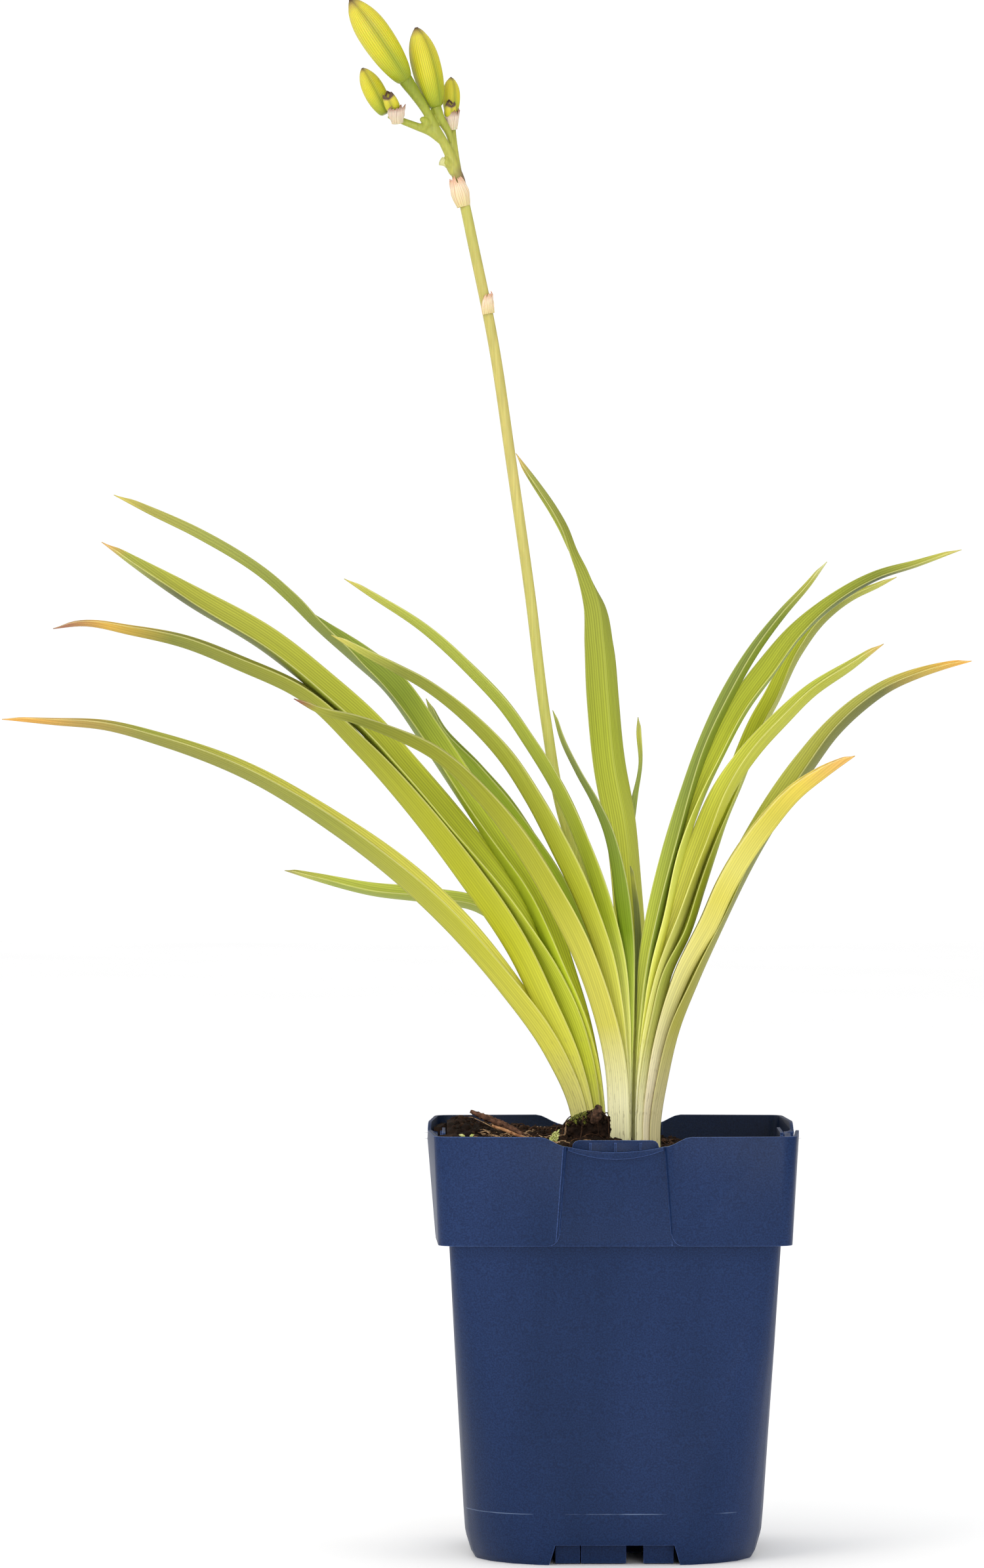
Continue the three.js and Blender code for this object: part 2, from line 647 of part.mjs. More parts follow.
    [-15.7, 47, 380, 3.6, 42, 190],
    [-19.6, 50, 387, 3.3, 40, 196],
    [-27, 54, 397.6, 2.5, 40, 200],
    [-35.2, 58, 408, 0.6, 40, 205],
  ] },
  back_leaf_4: { side: 1, colour: 'leafDark', rows: [
    [14, 19, 139, 2.4, 40, 90],
    [14, 19, 158, 2.6, 40, 90],
    [11, 22, 200, 3, 40, 90],
    [7, 26, 248, 3.4, 40, 90],
    [6.6, 28, 261.5, 3, 40, 90],
    [8.7, 30, 279.6, 1.6, 40, 60],
    [10.6, 32, 290.1, 1, 40, 30],
    [9.9, 34, 303.8, 1.4, 40, 0],
    [10.4, 35, 308, 0.6, 40, 0],
  ] },
  back_leaf_5: { side: 1, colour: 'leafDark', rows: [
    [9, 6.3, 139, 1.6, 38, 0],
    [9, 6.3, 158, 1.8, 38, 0],
    [8.8, 6, 200, 2.2, 38, 0],
    [8.2, 4, 236, 2, 38, 0],
    [6.7, 2, 252.8, 0.6, 38, 0],
  ] },
};

// A point of the plant's tables in the part's own frame.
function plantPoint(x, y, z) {
  return new THREE.Vector3(x, y, z + PLANT_DATUM);
}

// A smooth curve through the rows of a table, all columns alike, at t from 0 to 1 of the
// length along its first three columns.
function alongRows(rows, t) {
  const at = [0];
  for (let i = 1; i < rows.length; i += 1) {
    const [dx, dy, dz] = [0, 1, 2].map((k) => rows[i][k] - rows[i - 1][k]);
    at.push(at[i - 1] + Math.hypot(dx, dy, dz));
  }
  const s = t * at[at.length - 1];
  let i = 0;
  while (i < rows.length - 2 && s > at[i + 1]) {
    i += 1;
  }
  const span = at[i + 1] - at[i];
  const u = (s - at[i]) / span;
  return rows[i].map((value, k) => {
    const next = rows[i + 1][k];
    const slope0 = slopeAt(rows, at, i, k) * span;
    const slope1 = slopeAt(rows, at, i + 1, k) * span;
    const rise = next - value;
    const cubic = slope0 + slope1 - 2 * rise;
    return value + u * (slope0 + u * (rise - slope0 - cubic + u * cubic));
  });
}

function slopeAt(rows, at, i, k) {
  const before = i > 0 ? (rows[i][k] - rows[i - 1][k]) / (at[i] - at[i - 1]) : null;
  const after = i < rows.length - 1 ? (rows[i + 1][k] - rows[i][k]) / (at[i + 1] - at[i]) : null;
  if (before === null || after === null) {
    return before === null ? after : before;
  }
  const share = (at[i] - at[i - 1]) / (at[i + 1] - at[i - 1]);
  return after * share + before * (1 - share);
}

// The six corners of a folded blade's section, thicker all round by grow.
function bladeSection(rows, side, t, grow) {
  const step = 0.004;
  const [x, y, z, width, foldDegrees, rollDegrees] = alongRows(rows, t);
  const behind = alongRows(rows, Math.max(t - step, 0));
  const ahead = alongRows(rows, Math.min(t + step, 1));
  const tangent = new THREE.Vector3(
    ahead[0] - behind[0], ahead[1] - behind[1], ahead[2] - behind[2]).normalize();
  const across = new THREE.Vector3(0, 1, 0).cross(tangent).normalize();
  const back = new THREE.Vector3().crossVectors(tangent, across);
  across.multiplyScalar(side);
  const fold = THREE.MathUtils.degToRad(foldDegrees);
  const roll = THREE.MathUtils.degToRad(rollDegrees);
  const way = (angle) => across.clone().multiplyScalar(Math.cos(angle))
    .addScaledVector(back, Math.sin(angle));
  const mitre = Math.min(1 / Math.sin(fold), MITRE_LIMIT);
  const keel = plantPoint(x, y, z).addScaledVector(way(roll), -grow * mitre);
  const thick = BLADE_THICK + 2 * grow;
  const inner = keel.clone().addScaledVector(way(roll), thick * mitre);
  const reach = width + grow - BLADE_THICK * 0.5;
  const near = inner.clone().addScaledVector(way(roll - fold), reach);
  const far = inner.clone().addScaledVector(way(roll + fold), reach);
  return [
    near.clone().addScaledVector(way(roll - fold - Math.PI / 2), thick),
    keel,
    far.clone().addScaledVector(way(roll + fold + Math.PI / 2), thick),
    far,
    inner,
    near,
  ];
}

// Faces of the blade between two sections; both skins are split along like diagonals.
function bladeSolid({ rows, side }, grow) {
  const points = [];
  for (let i = 0; i <= BLADE_STEPS; i += 1) {
    points.push(...bladeSection(rows, side, i / BLADE_STEPS, grow));
  }
  const triangles = [];
  const fromKeelBack = [true, false, false, true, false, false];
  for (let i = 0; i < BLADE_STEPS; i += 1) {
    for (let j = 0; j < 6; j += 1) {
      const a = 6 * i + j;
      const b = 6 * i + ((j + 1) % 6);
      const c = b + 6;
      const d = a + 6;
      if (fromKeelBack[j]) {
        triangles.push([a, b, d], [b, c, d]);
      } else {
        triangles.push([a, b, c], [a, c, d]);
      }
    }
  }
  const cap = [[0, 4, 1], [0, 5, 4], [1, 3, 2], [1, 4, 3]];
  const top = 6 * BLADE_STEPS;
  for (const [a, b, c] of cap) {
    triangles.push([a, b, c], [top + a, top + c, top + b]);
  }
  return solidFrom(points, triangles);
}

// All blades, each trimmed where it would press into one placed before it.
function leafSolids() {
  const solids = {};
  const grown = [];
  for (const [name, leaf] of Object.entries(LEAVES)) {
    let solid = bladeSolid(leaf, 0);
    for (const other of grown) {
      if (solid.intersect(other).volume() > 1e-4) {
        solid = largestBody(solid.subtract(other));
      }
    }
    solids[name] = solid;
    grown.push(bladeSolid(leaf, BLADE_GAP));
  }
  return solids;
}

// ================= stems, buds and bracts =================

const SCAPE = [
  // x, y, z, radius
  [6.5, 16.5, 139, 2.3],
  [5.5, 16, 165, 2.3],
  [-0.5, 15.5, 202, 2.3],
  [-12.6, 13, 254.5, 2.15],
  [-18.2, 12, 272, 2.1],
  [-24.4, 11.5, 306.5, 2],
  [-30.6, 11, 355.3, 2],
  [-37.6, 10, 404.2, 2],
  [-44.2, 9, 448.1, 2],
  [-53.1, 8, 491.3, 2],
  [-57.3, 8, 510.5, 1.9],
];
const BRANCHES = {
  to_bud_a: [
    [-56.5, 8, 507, 1.6],
    [-58.2, 7.8, 512.5, 1.9],
    [-62.2, 6, 521.4, 1.8],
    [-66, 4, 528.2, 1.6],
    [-69.9, 2, 535, 1.7],
    [-73.6, 0, 540.4, 2],
    [-77, -1.8, 545.2, 2.1],
  ],
  to_bud_d: [
    [-57.4, 8, 511, 1.6],
    [-58.4, 9, 517.5, 1.5],
    [-59.3, 10, 525, 1.4],
    [-60, 10.6, 531, 1.3],
  ],
  to_bud_b: [
    [-58.9, 9.2, 519.5, 1],
    [-61, 7.6, 526.4, 1.3],
    [-64.2, 5.6, 531.4, 1.4],
    [-65.4, 5, 534.5, 1.6],
  ],
  to_bud_c: [
    [-63.4, 5.2, 522.6, 1.3],
    [-67.6, 4.2, 526.2, 1.7],
    [-72.4, 3.2, 528, 1.5],
    [-78.4, 2.2, 530.2, 1.3],
    [-83.2, 2, 532.2, 1.2],
  ],
  nub: [
    [-70.4, 3.4, 527, 1.5],
    [-69.2, 2.2, 529.6, 1.7],
    [-71.3, 1.4, 531, 0.8],
  ],
  cut_stub: [
    [-59.6, 7.6, 513, 1.5],
    [-61.3, 6.2, 514.6, 1.7],
    [-62.6, 5, 515.8, 1.7],
  ],
};

// A bud runs from its base to its tip; belly is the share of its length at which it is
// thickest, and lobe is how far its three outer petals stand proud of their seams.
const BUDS = {
  bud_a: { base: [-77, -1.8, 545], tip: [-97.3, -12, 574.2], radius: 6.1, lobe: 0.05, belly: 0.52 },
  bud_b: { base: [-65.6, 4.8, 535.4], tip: [-73, 2, 564.8], radius: 5.5, lobe: 0.05, belly: 0.5 },
  bud_c: { base: [-84.2, 2.4, 532.8], tip: [-93, 4.2, 549.8], radius: 4.1, lobe: 0.05, belly: 0.45 },
  bud_d: { base: [-60, 10.8, 532], tip: [-60, 11.2, 547], radius: 3.3, lobe: 0.05, belly: 0.5 },
  budlet_c: { base: [-80.6, -0.8, 533.6], tip: [-83.4, -3.4, 540.2], radius: 2.6, lobe: 0.04, belly: 0.5 },
  budlet_d: { base: [-60.4, 8.6, 531.8], tip: [-60.2, 5.8, 537.6], radius: 2.2, lobe: 0.04, belly: 0.5 },
};

// A bract wraps round the line from one point to another at a radius that swells by bulge
// halfway and by flare at its open end. It spans an angle about the direction it faces:
// 0 is the right and -90 the front.
const BRACTS = {
  bract_main: {
    from: [-55.2, 8, 497.8],
    to: [-58, 7.4, 510.8],
    radius: 2.3,
    bulge: 1.3,
    flare: 0,
    facing: -105,
    span: 250,
  },
  bract_scape: {
    from: [-46.4, 8.9, 458.6],
    to: [-47.9, 8.7, 466.6],
    radius: 2.35,
    bulge: 0.3,
    flare: 0.5,
    facing: -30,
    span: 200,
  },
  bract_c: {
    from: [-79.8, 0.4, 529.4],
    to: [-80.9, -2, 538.6],
    radius: 1.9,
    bulge: 0.9,
    flare: 1.6,
    facing: -25,
    span: 190,
  },
  bract_d: {
    from: [-59.7, 9.8, 527.4],
    to: [-60.2, 8.2, 536.6],
    radius: 1.8,
    bulge: 0.5,
    flare: 1.4,
    facing: 60,
    span: 230,
  },
};

function frameAlong(direction) {
  const axis = direction.clone().normalize();
  const sideways = new THREE.Vector3(0, 1, 0).cross(axis).normalize();
  return { axis, sideways, back: new THREE.Vector3().crossVectors(axis, sideways) };
}

function ringAt(centre, frame, radiusAt, sides) {
  const ring = [];
  for (let j = 0; j < sides; j += 1) {
    const angle = (2 * Math.PI * j) / sides;
    const radius = radiusAt(angle);
    ring.push(centre.clone().addScaledVector(frame.sideways, radius * Math.cos(angle))
      .addScaledVector(frame.back, radius * Math.sin(angle)));
  }
  return ring;
}

function stemSolid(rows, steps, sides, grow) {
  const rings = [];
  for (let i = 0; i <= steps; i += 1) {
    const t = i / steps;
    const [x, y, z, radius] = alongRows(rows, t);
    const ahead = alongRows(rows, Math.min(t + 0.01, 1));
    const behind = alongRows(rows, Math.max(t - 0.01, 0));
    const direction = new THREE.Vector3(...ahead).sub(new THREE.Vector3(...behind));
    const centre = plantPoint(x, y, z);
    rings.push(ringAt(centre, frameAlong(direction), () => radius + grow, sides));
  }
  return loft(rings);
}

// The flower stem with all its branches, thicker all round by grow.
function scapeSolid(grow) {
  let stem = stemSolid(SCAPE, SCAPE_STEPS, SCAPE_SIDES, grow);
  for (const rows of Object.values(BRANCHES)) {
    stem = stem.add(stemSolid(rows, 2 * (rows.length - 1), BRANCH_SIDES, grow));
  }
  return stem;
}

// A closed flower bud: three outer petals meet along shallow seams, and the tip is blunt.
function budSolid({ base, tip, radius, lobe, belly }, grow) {
  const from = plantPoint(...base);
  const to = plantPoint(...tip);
  const frame = frameAlong(to.clone().sub(from));
  const shares = [0, 0.07, 0.2, 0.36, 0.54, 0.7, 0.84, 0.94, 1];
  const rings = shares.map((share) => {
    const bulge = share < belly
      ? 0.34 + 0.66 * Math.sin((Math.PI / 2) * (share / belly)) ** 0.9
      : Math.max(Math.cos((Math.PI / 2) * ((share - belly) / (1 - belly)) ** 1.25), 0) ** 0.72;
    const size = Math.max(radius * bulge, radius * 0.16) + grow;
    return ringAt(from.clone().lerp(to, share), frame,
      (angle) => size * (1 + lobe * Math.cos(3 * angle)), BUD_SIDES);
  });
  return loft(rings);
}

// A papery bract: a thin scale wrapped part of the way round a stem and flared at its top.
function bractSolid({ from, to, radius, bulge, flare, facing, span }) {
  const start = plantPoint(...from);
  const end = plantPoint(...to);
  const frame = frameAlong(end.clone().sub(start));
  const rings = [];
  for (let i = 0; i <= BRACT_ROWS; i += 1) {
    const t = i / BRACT_ROWS;
    const centre = start.clone().lerp(end, t);
    const width = THREE.MathUtils.degToRad(span) * (1 - BRACT_NARROWING * t * t);
    const size = radius + flare * t * t + bulge * Math.sin(Math.PI * t);
    const skins = [[], []];
    for (let j = 0; j <= BRACT_COLUMNS; j += 1) {
      const angle = THREE.MathUtils.degToRad(facing) + width * (j / BRACT_COLUMNS - 0.5);
      const out = frame.sideways.clone().multiplyScalar(Math.cos(angle))
        .addScaledVector(frame.back, Math.sin(angle));
      skins[0].push(centre.clone().addScaledVector(out, size + BRACT_THICK));
      skins[1].unshift(centre.clone().addScaledVector(out, size));
    }
    rings.push(skins.flat());
  }
  return sheetLoft(rings, BRACT_COLUMNS);
}

// A loft whose rings are thin strips: the ends are closed straight across the strip.
function sheetLoft(rings, columns) {
  const count = rings[0].length;
  const points = rings.flat();
  const triangles = [];
  for (let i = 0; i + 1 < rings.length; i += 1) {
    for (let j = 0; j < count; j += 1) {
      const a = i * count + j;
      const b = i * count + ((j + 1) % count);
      triangles.push([a, b, b + count], [a, b + count, a + count]);
    }
  }
  const last = (rings.length - 1) * count;
  for (let j = 0; j < columns; j += 1) {
    const far = count - 1 - j;
    triangles.push([j, far, far - 1], [j, far - 1, j + 1]);
    triangles.push([last + j, last + far - 1, last + far], [last + j, last + j + 1, last + far - 1]);
  }
  return solidFrom(points, triangles);
}

// ================= the soil and what lies on it =================

// A repeatable value between -1 and 1 for two whole numbers.
function scatter(i, j) {
  const value = Math.sin(i * 127.1 + j * 311.7) * 43758.5453;
  return 2 * (value - Math.floor(value)) - 1;
}

// The soil's surface slopes down to the right, with two low heaps at the front.
function soilHeight(x, y) {
  let height = SOIL_LEVEL + SOIL_SLOPE[0] * x + SOIL_SLOPE[1] * y;
  for (const heap of HEAPS) {
    height += heap.rise * Math.exp(-(((x - heap.x) / heap.wide) ** 2)
      - ((y - heap.y) / heap.deep) ** 2);
  }
  return height;
}

function soilBlock() {
  const cell = (2 * SOIL_HALF) / SOIL_CELLS;
  const points = [];
  const triangles = [];
  const row = SOIL_CELLS + 1;
  for (let i = 0; i < row; i += 1) {
    for (let j = 0; j < row; j += 1) {
      const x = -SOIL_HALF + i * cell;
      const y = -SOIL_HALF + j * cell;
      points.push(new THREE.Vector3(x, y, soilHeight(x, y) + SOIL_ROUGHNESS * scatter(i, j)));
    }
  }
  const skin = points.length;
  for (let n = 0; n < skin; n += 1) {
    points.push(points[n].clone().setZ(SOIL_LOW));
  }
  for (let i = 0; i < SOIL_CELLS; i += 1) {
    for (let j = 0; j < SOIL_CELLS; j += 1) {
      const a = i * row + j;
      const b = a + row;
      triangles.push([a, b, b + 1], [a, b + 1, a + 1]);
      triangles.push([skin + a, skin + b + 1, skin + b], [skin + a, skin + a + 1, skin + b + 1]);
    }
  }
  for (let n = 0; n < SOIL_CELLS; n += 1) {
    for (const [a, b] of [
      [n, n + 1],
      [(n + 1) * row, n * row],
      [n * row + SOIL_CELLS, (n + 1) * row + SOIL_CELLS],
      [SOIL_CELLS * row + n + 1, SOIL_CELLS * row + n],
    ]) {
      triangles.push([a, b, b + skin], [a, b + skin, a + skin]);
    }
  }
  return solidFrom(points, triangles);
}

// The crumbly clod that stands up in front of the left shoot.
function clodSolid() {
  const ball = new THREE.IcosahedronGeometry(1, 2);
  ball.deleteAttribute('normal');
  ball.deleteAttribute('uv');
  const clod = mergeVertices(ball, 1e-4);
  const place = clod.attributes.position;
  for (let i = 0; i < place.count; i += 1) {
    const [x, y, z] = [place.getX(i), place.getY(i), place.getZ(i)];
    const swell = 1 + CLOD.lumps * scatter(Math.round(x * 40), Math.round(z * 40));
    place.setXYZ(i, CLOD.x + CLOD.width * swell * x, CLOD.y + CLOD.width * swell * y,
      CLOD.z + CLOD.height * swell * z);
  }
  return solidOf(clod);
}

// The hole in the soil that a whole shoot stands in.
function pocket(outline) {
  const shape = new THREE.Shape(outline.map(([x, y]) => new THREE.Vector2(x, y)));
  const hole = new THREE.ExtrudeGeometry(shape, { depth: 40, bevelEnabled: false });
  hole.translate(0, 0, POCKET_Z);
  return solidOf(hole);
}

const POCKETS = {
  main_shoot: [[-2.4, -4], [0.5, -7.2], [6.8, -11.4], [9.4, -10.2], [15.5, -8.4], [19.6, -4],
    [15.5, 0.6], [10.2, 2], [6.8, 3.3], [1.4, 1.2]],
  left_shoot: [[-16.8, 6.8], [-13.6, 3.4], [-5, 1.6], [-1.8, 3.2], [-1.8, 10.8], [-5, 12.6],
    [-13.6, 10.8]],
  back_leaf_1: [[-10, 15.4], [-9, 13.6], [-4.4, 12.4], [-4.4, 18.8], [-9, 17.4]],
  back_leaf_2: [[-0.2, 8], [2, 5.4], [6, 3.9], [6, 12.2], [2, 10.6]],
  back_leaf_3: [[11.2, 9.9], [13, 9.9], [16.2, 15], [14.6, 15.6], [11.8, 12.4], [8.2, 13.8],
    [6.9, 13]],
  back_leaf_4: [[13.2, 18.4], [14.8, 18.4], [16.8, 21.4], [15, 21.8], [13, 21.8], [11.2, 21.4]],
  back_leaf_5: [[8.1, 6.3], [9, 5.2], [10.9, 4.6], [10.9, 8], [9, 7.4]],
  scape: [[3.4, 15], [5.2, 13.6], [7.8, 13.6], [9.4, 15.2], [9.4, 17.6], [7.8, 19.4], [5.2, 19.4],
    [3.4, 18]],
};

function soilSolid(standing) {
  const cavity = bodySolid(WALL + SOIL_GAP, SOIL_LOW, COLLAR_Z + SHELF + 1);
  const inset = WALL + SOIL_GAP;
  const collarCavity = loft([
    collarOutline(COLLAR_Z + SHELF + SOIL_GAP, inset),
    collarOutline(RIM_Z, inset).map((p) => p.setZ(RIM_Z + SOIL_HALF)),
  ]);
  let soil = soilBlock().intersect(cavity.add(collarCavity)).add(clodSolid());
  const half = TAB_HALF + SOIL_GAP;
  const slot = boxSolid(-half, half, -SOIL_HALF, -TAB_FACE + TAB_THICK / 2, COLLAR_Z, RIM_Z);
  soil = soil.subtract(onFourSides(tabPlate(SOIL_GAP).add(slot)));
  for (const outline of Object.values(POCKETS)) {
    soil = soil.subtract(pocket(outline));
  }
  for (const piece of standing) {
    soil = soil.subtract(piece);
  }
  return largestBody(soil);
}

const LOOSE = {
  stick: {
    rows: [[-44.7, -6, 156.4, 0.6], [-40, -7, 154.9, 0.8], [-35.4, -8, 153, 0.7],
      [-31, -9, 151.2, 0.6]],
    colour: 'bark',
  },
  bark_flake: {
    rows: [[-7.6, -28.4, 158.8, 1.3], [-6.2, -29.2, 162, 2], [-5.4, -28.4, 165.4, 0.9]],
    colour: 'bark',
  },
  root_piece: {
    rows: [[-52.8, 2, 161.3, 0.6], [-46, 2, 158.6, 1.2], [-40, 1, 156.2, 1.2],
      [-35, 0, 153.6, 0.9], [-31, -1, 151.4, 0.7]],
    colour: 'bark',
  },
  moss_tuft: {
    rows: [[-22, -34, 151, 2], [-21, -34.6, 153.4, 3], [-20, -35, 155.2, 1.4]],
    colour: 'moss',
  },
};
const LOOSE_STEPS = 4;
const LOOSE_SIDES = 6;

function looseSolid({ rows }, grow) {
  return stemSolid(rows, LOOSE_STEPS, LOOSE_SIDES, grow);
}

// ================= assembly =================

function meshOf(name, solid, colour, roughness) {
  const { vertProperties, triVerts } = solid.getMesh();
  const geometry = new THREE.BufferGeometry();
  geometry.setAttribute('position', new THREE.BufferAttribute(vertProperties, 3));
  geometry.setIndex(new THREE.BufferAttribute(triVerts, 1));
  geometry.computeVertexNormals();
  const color = COLOURS[colour];
  const material = new THREE.MeshStandardMaterial({ color, roughness, metalness: 0 });
  const mesh = new THREE.Mesh(geometry, material);
  mesh.name = name;
  return mesh;
}

const daylily = new THREE.Group();
daylily.name = 'daylily_in_pot';
daylily.add(meshOf('pot', potSolid(), 'pot', 0.55));

const standing = [
  ...Object.values(LOOSE).map((piece) => looseSolid(piece, BLADE_GAP)),
  ...Object.values(LEAVES).map((leaf) => bladeSolid(leaf, SOIL_GAP)),
  stemSolid(SCAPE, SCAPE_STEPS, SCAPE_SIDES, SOIL_GAP),
];
daylily.add(meshOf('soil', soilSolid(standing), 'soil', 0.95));
for (const [name, piece] of Object.entries(LOOSE)) {
  daylily.add(meshOf(name, looseSolid(piece, 0), piece.colour, 0.9));
}

const plant = new THREE.Group();
plant.name = 'plant';
for (const [name, solid] of Object.entries(leafSolids())) {
  plant.add(meshOf(name, solid, LEAVES[name].colour, 0.5));
}
plant.add(meshOf('scape', scapeSolid(0), 'scape', 0.5));

// The buds and bracts are seated on the stem with a hair's gap, and clear of each other.
let taken = scapeSolid(BLADE_GAP);
for (const [name, bud] of Object.entries(BUDS)) {
  const solid = largestBody(budSolid(bud, 0).subtract(taken));
  plant.add(meshOf(name, solid, 'bud', 0.45));
  taken = taken.add(budSolid(bud, BLADE_GAP));
}
for (const [name, bract] of Object.entries(BRACTS)) {
  const solid = largestBody(bractSolid(bract).subtract(taken));
  plant.add(meshOf(name, solid, 'bract', 0.7));
}
daylily.add(plant);

export default daylily;
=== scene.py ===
# %% [markdown]
# # A daylily in its pot
# A young daylily grows in a square two-litre pot. Its leaves are long straps folded along a
# keel, and a thin stem with a few buds leans out over them. The solids of the part are the
# frame. Each step below puts the finer, finished piece where its plain solid stands.

import math

import bmesh
import bpy
import numpy as np
from mathutils import Euler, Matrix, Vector, noise


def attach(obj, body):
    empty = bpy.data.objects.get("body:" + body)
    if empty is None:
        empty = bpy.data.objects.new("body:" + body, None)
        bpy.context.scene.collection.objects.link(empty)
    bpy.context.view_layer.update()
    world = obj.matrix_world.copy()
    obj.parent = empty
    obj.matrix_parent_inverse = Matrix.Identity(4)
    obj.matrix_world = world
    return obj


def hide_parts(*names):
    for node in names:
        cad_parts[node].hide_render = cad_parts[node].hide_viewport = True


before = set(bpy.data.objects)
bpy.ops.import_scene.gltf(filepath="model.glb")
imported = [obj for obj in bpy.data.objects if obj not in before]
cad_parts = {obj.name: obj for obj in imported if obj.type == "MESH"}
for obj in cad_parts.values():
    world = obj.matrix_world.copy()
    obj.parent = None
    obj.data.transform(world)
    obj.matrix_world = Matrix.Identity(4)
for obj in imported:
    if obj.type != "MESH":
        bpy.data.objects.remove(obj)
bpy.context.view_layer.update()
MM = 0.001
print("solids:", len(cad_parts))

# %% [markdown]
# ## Helpers
# Every colour is written as the hex value seen on a screen and turned to the linear value
# that the shaders need. A finish is a small tree of nodes, so one function adds a node,
# sets it and links it. A piece is built from lists of points and faces. Each point also
# carries a few numbers, such as how far along the leaf it lies, that the finish reads.

# %% Colour, node and mesh helpers
def colour(text):
    """sRGB hex text to linear red, green, blue and alpha."""
    parts = [int(text[i : i + 2], 16) / 255 for i in (1, 3, 5)]
    return (*(c / 12.92 if c <= 0.04045 else ((c + 0.055) / 1.055) ** 2.4 for c in parts), 1)


def feed(tree, node, inputs):
    """Gives a node's inputs their values or links.

    A node links by its first output in use. From and To each take a lowest and highest value.
    """
    for name, value in inputs.items():
        if name in ("From", "To"):
            feed(tree, node, {name + " Min": value[0], name + " Max": value[1]})
            continue
        if isinstance(value, bpy.types.Node):
            value = next(output for output in value.outputs if output.enabled)
        if isinstance(value, bpy.types.NodeSocket):
            tree.links.new(value, node.inputs[name])
        else:
            node.inputs[name].default_value = value


def add(tree, kind, inputs=None, stops=(), **settings):
    """Adds a shader node with its own settings, its inputs and the stops of a colour ramp."""
    made = tree.nodes.new("ShaderNode" + kind)
    for name, value in settings.items():
        setattr(made, name, value)
    feed(tree, made, inputs or {})
    for i, (place, shade) in enumerate(stops):
        ramp = made.color_ramp.elements
        stop = ramp[i] if i < 2 else ramp.new(place)
        stop.position = place
        stop.color = colour(shade)
    return made


def new_material(name, **values):
    """A material whose shader already has its uniform values. Returns tree and shader."""
    made = bpy.data.materials.new(name)
    made.use_nodes = True
    shader = made.node_tree.nodes["Principled BSDF"]
    for socket, value in values.items():
        shader.inputs[socket.replace("_", " ")].default_value = value
    return made, made.node_tree, shader


def volume(mesh):
    """The signed volume inside a closed mesh: negative if its faces look inwards."""
    mesh.calc_loop_triangles()
    points = np.empty(3 * len(mesh.vertices), np.float32)
    corners = np.empty(3 * len(mesh.loop_triangles), np.int32)
    mesh.vertices.foreach_get("co", points)
    mesh.loop_triangles.foreach_get("vertices", corners)
    a, b, c = points.reshape(-1, 3)[corners.reshape(-1, 3)].transpose(1, 0, 2)
    return float(np.einsum("ij,ij->", a, np.cross(b, c)) / 6)


def smoothed(mesh):
    mesh.polygons.foreach_set("use_smooth", [True] * len(mesh.polygons))


def mesh_piece(name, points, faces, material, values=None):
    """A mesh from points in millimetres; values are named numbers for each point."""
    mesh = bpy.data.meshes.new(name)
    mesh.from_pydata((np.asarray(points, float) * MM).tolist(), [], [list(f) for f in faces])
    for key, numbers in (values or {}).items():
        layer = mesh.attributes.new(key, "FLOAT", "POINT")
        layer.data.foreach_set("value", np.asarray(numbers, np.float32))
    mesh.materials.append(material)
    smoothed(mesh)
    if volume(mesh) < 0:
        mesh.flip_normals()
    mesh.update()
    made = bpy.data.objects.new(name, mesh)
    bpy.context.scene.collection.objects.link(made)
    return made


def modify(made, kind, **settings):
    """Adds a modifier with its settings."""
    step = made.modifiers.new(kind.lower(), kind)
    for name, value in settings.items():
        setattr(step, name, value)


def work_in(made):
    """Turns what a piece's modifiers show into its own smooth mesh."""
    graph = bpy.context.evaluated_depsgraph_get()
    made.data = bpy.data.meshes.new_from_object(made.evaluated_get(graph))
    made.modifiers.clear()
    smoothed(made.data)


PLANT_DATUM = 1.9  # the plant's tables are measured from this far above the floor, in mm


def raised(rows):
    """Rows of a plant table with their heights measured from the floor."""
    rows = np.array(rows, float)
    rows[:, 2] += PLANT_DATUM
    return rows


def settle(made, slot, *nodes):
    """The piece rides on the part's one body and stands for the named solids."""
    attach(made, "root")
    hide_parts(*nodes)
    print(made.name, "faces", len(made.data.polygons))

# %% [markdown]
# ## Camera, light and floor
# The plant is looked at from far away with a long lens, a little above the middle of the
# leaves, so upright lines stay upright. The light is a plain bright studio: a white
# surround, a large soft source high on the left, one in front that reaches in between the
# leaves, and weaker ones on the right and behind. The surround is a little brighter on the
# left, so that round things have a light and a dark side.

# %% Camera
scene = bpy.context.scene
lens = bpy.data.cameras.new("long_lens")
lens.lens = 175.6
lens.sensor_width = 36
camera = bpy.data.objects.new("camera", lens)
camera.location = (-0.0601, -2.847, 0.3345)
camera.rotation_euler = (math.radians(90 - 0.99), 0, math.radians(-0.31))
scene.collection.objects.link(camera)
scene.camera = camera
print("camera stands", round(-camera.location.y, 3), "m in front")

# %% Studio light and floor
def soft_light(name, place, aim, size, power, tint):
    """A square lamp of size metres and power watts, turned to its aim."""
    data = bpy.data.lights.new(name, "AREA")
    data.size = size
    data.energy = power
    data.color = colour(tint)[:3]
    made = bpy.data.objects.new(name, data)
    made.location = place
    made.rotation_euler = (Vector(aim) - Vector(place)).to_track_quat("-Z", "Y").to_euler()
    scene.collection.objects.link(made)


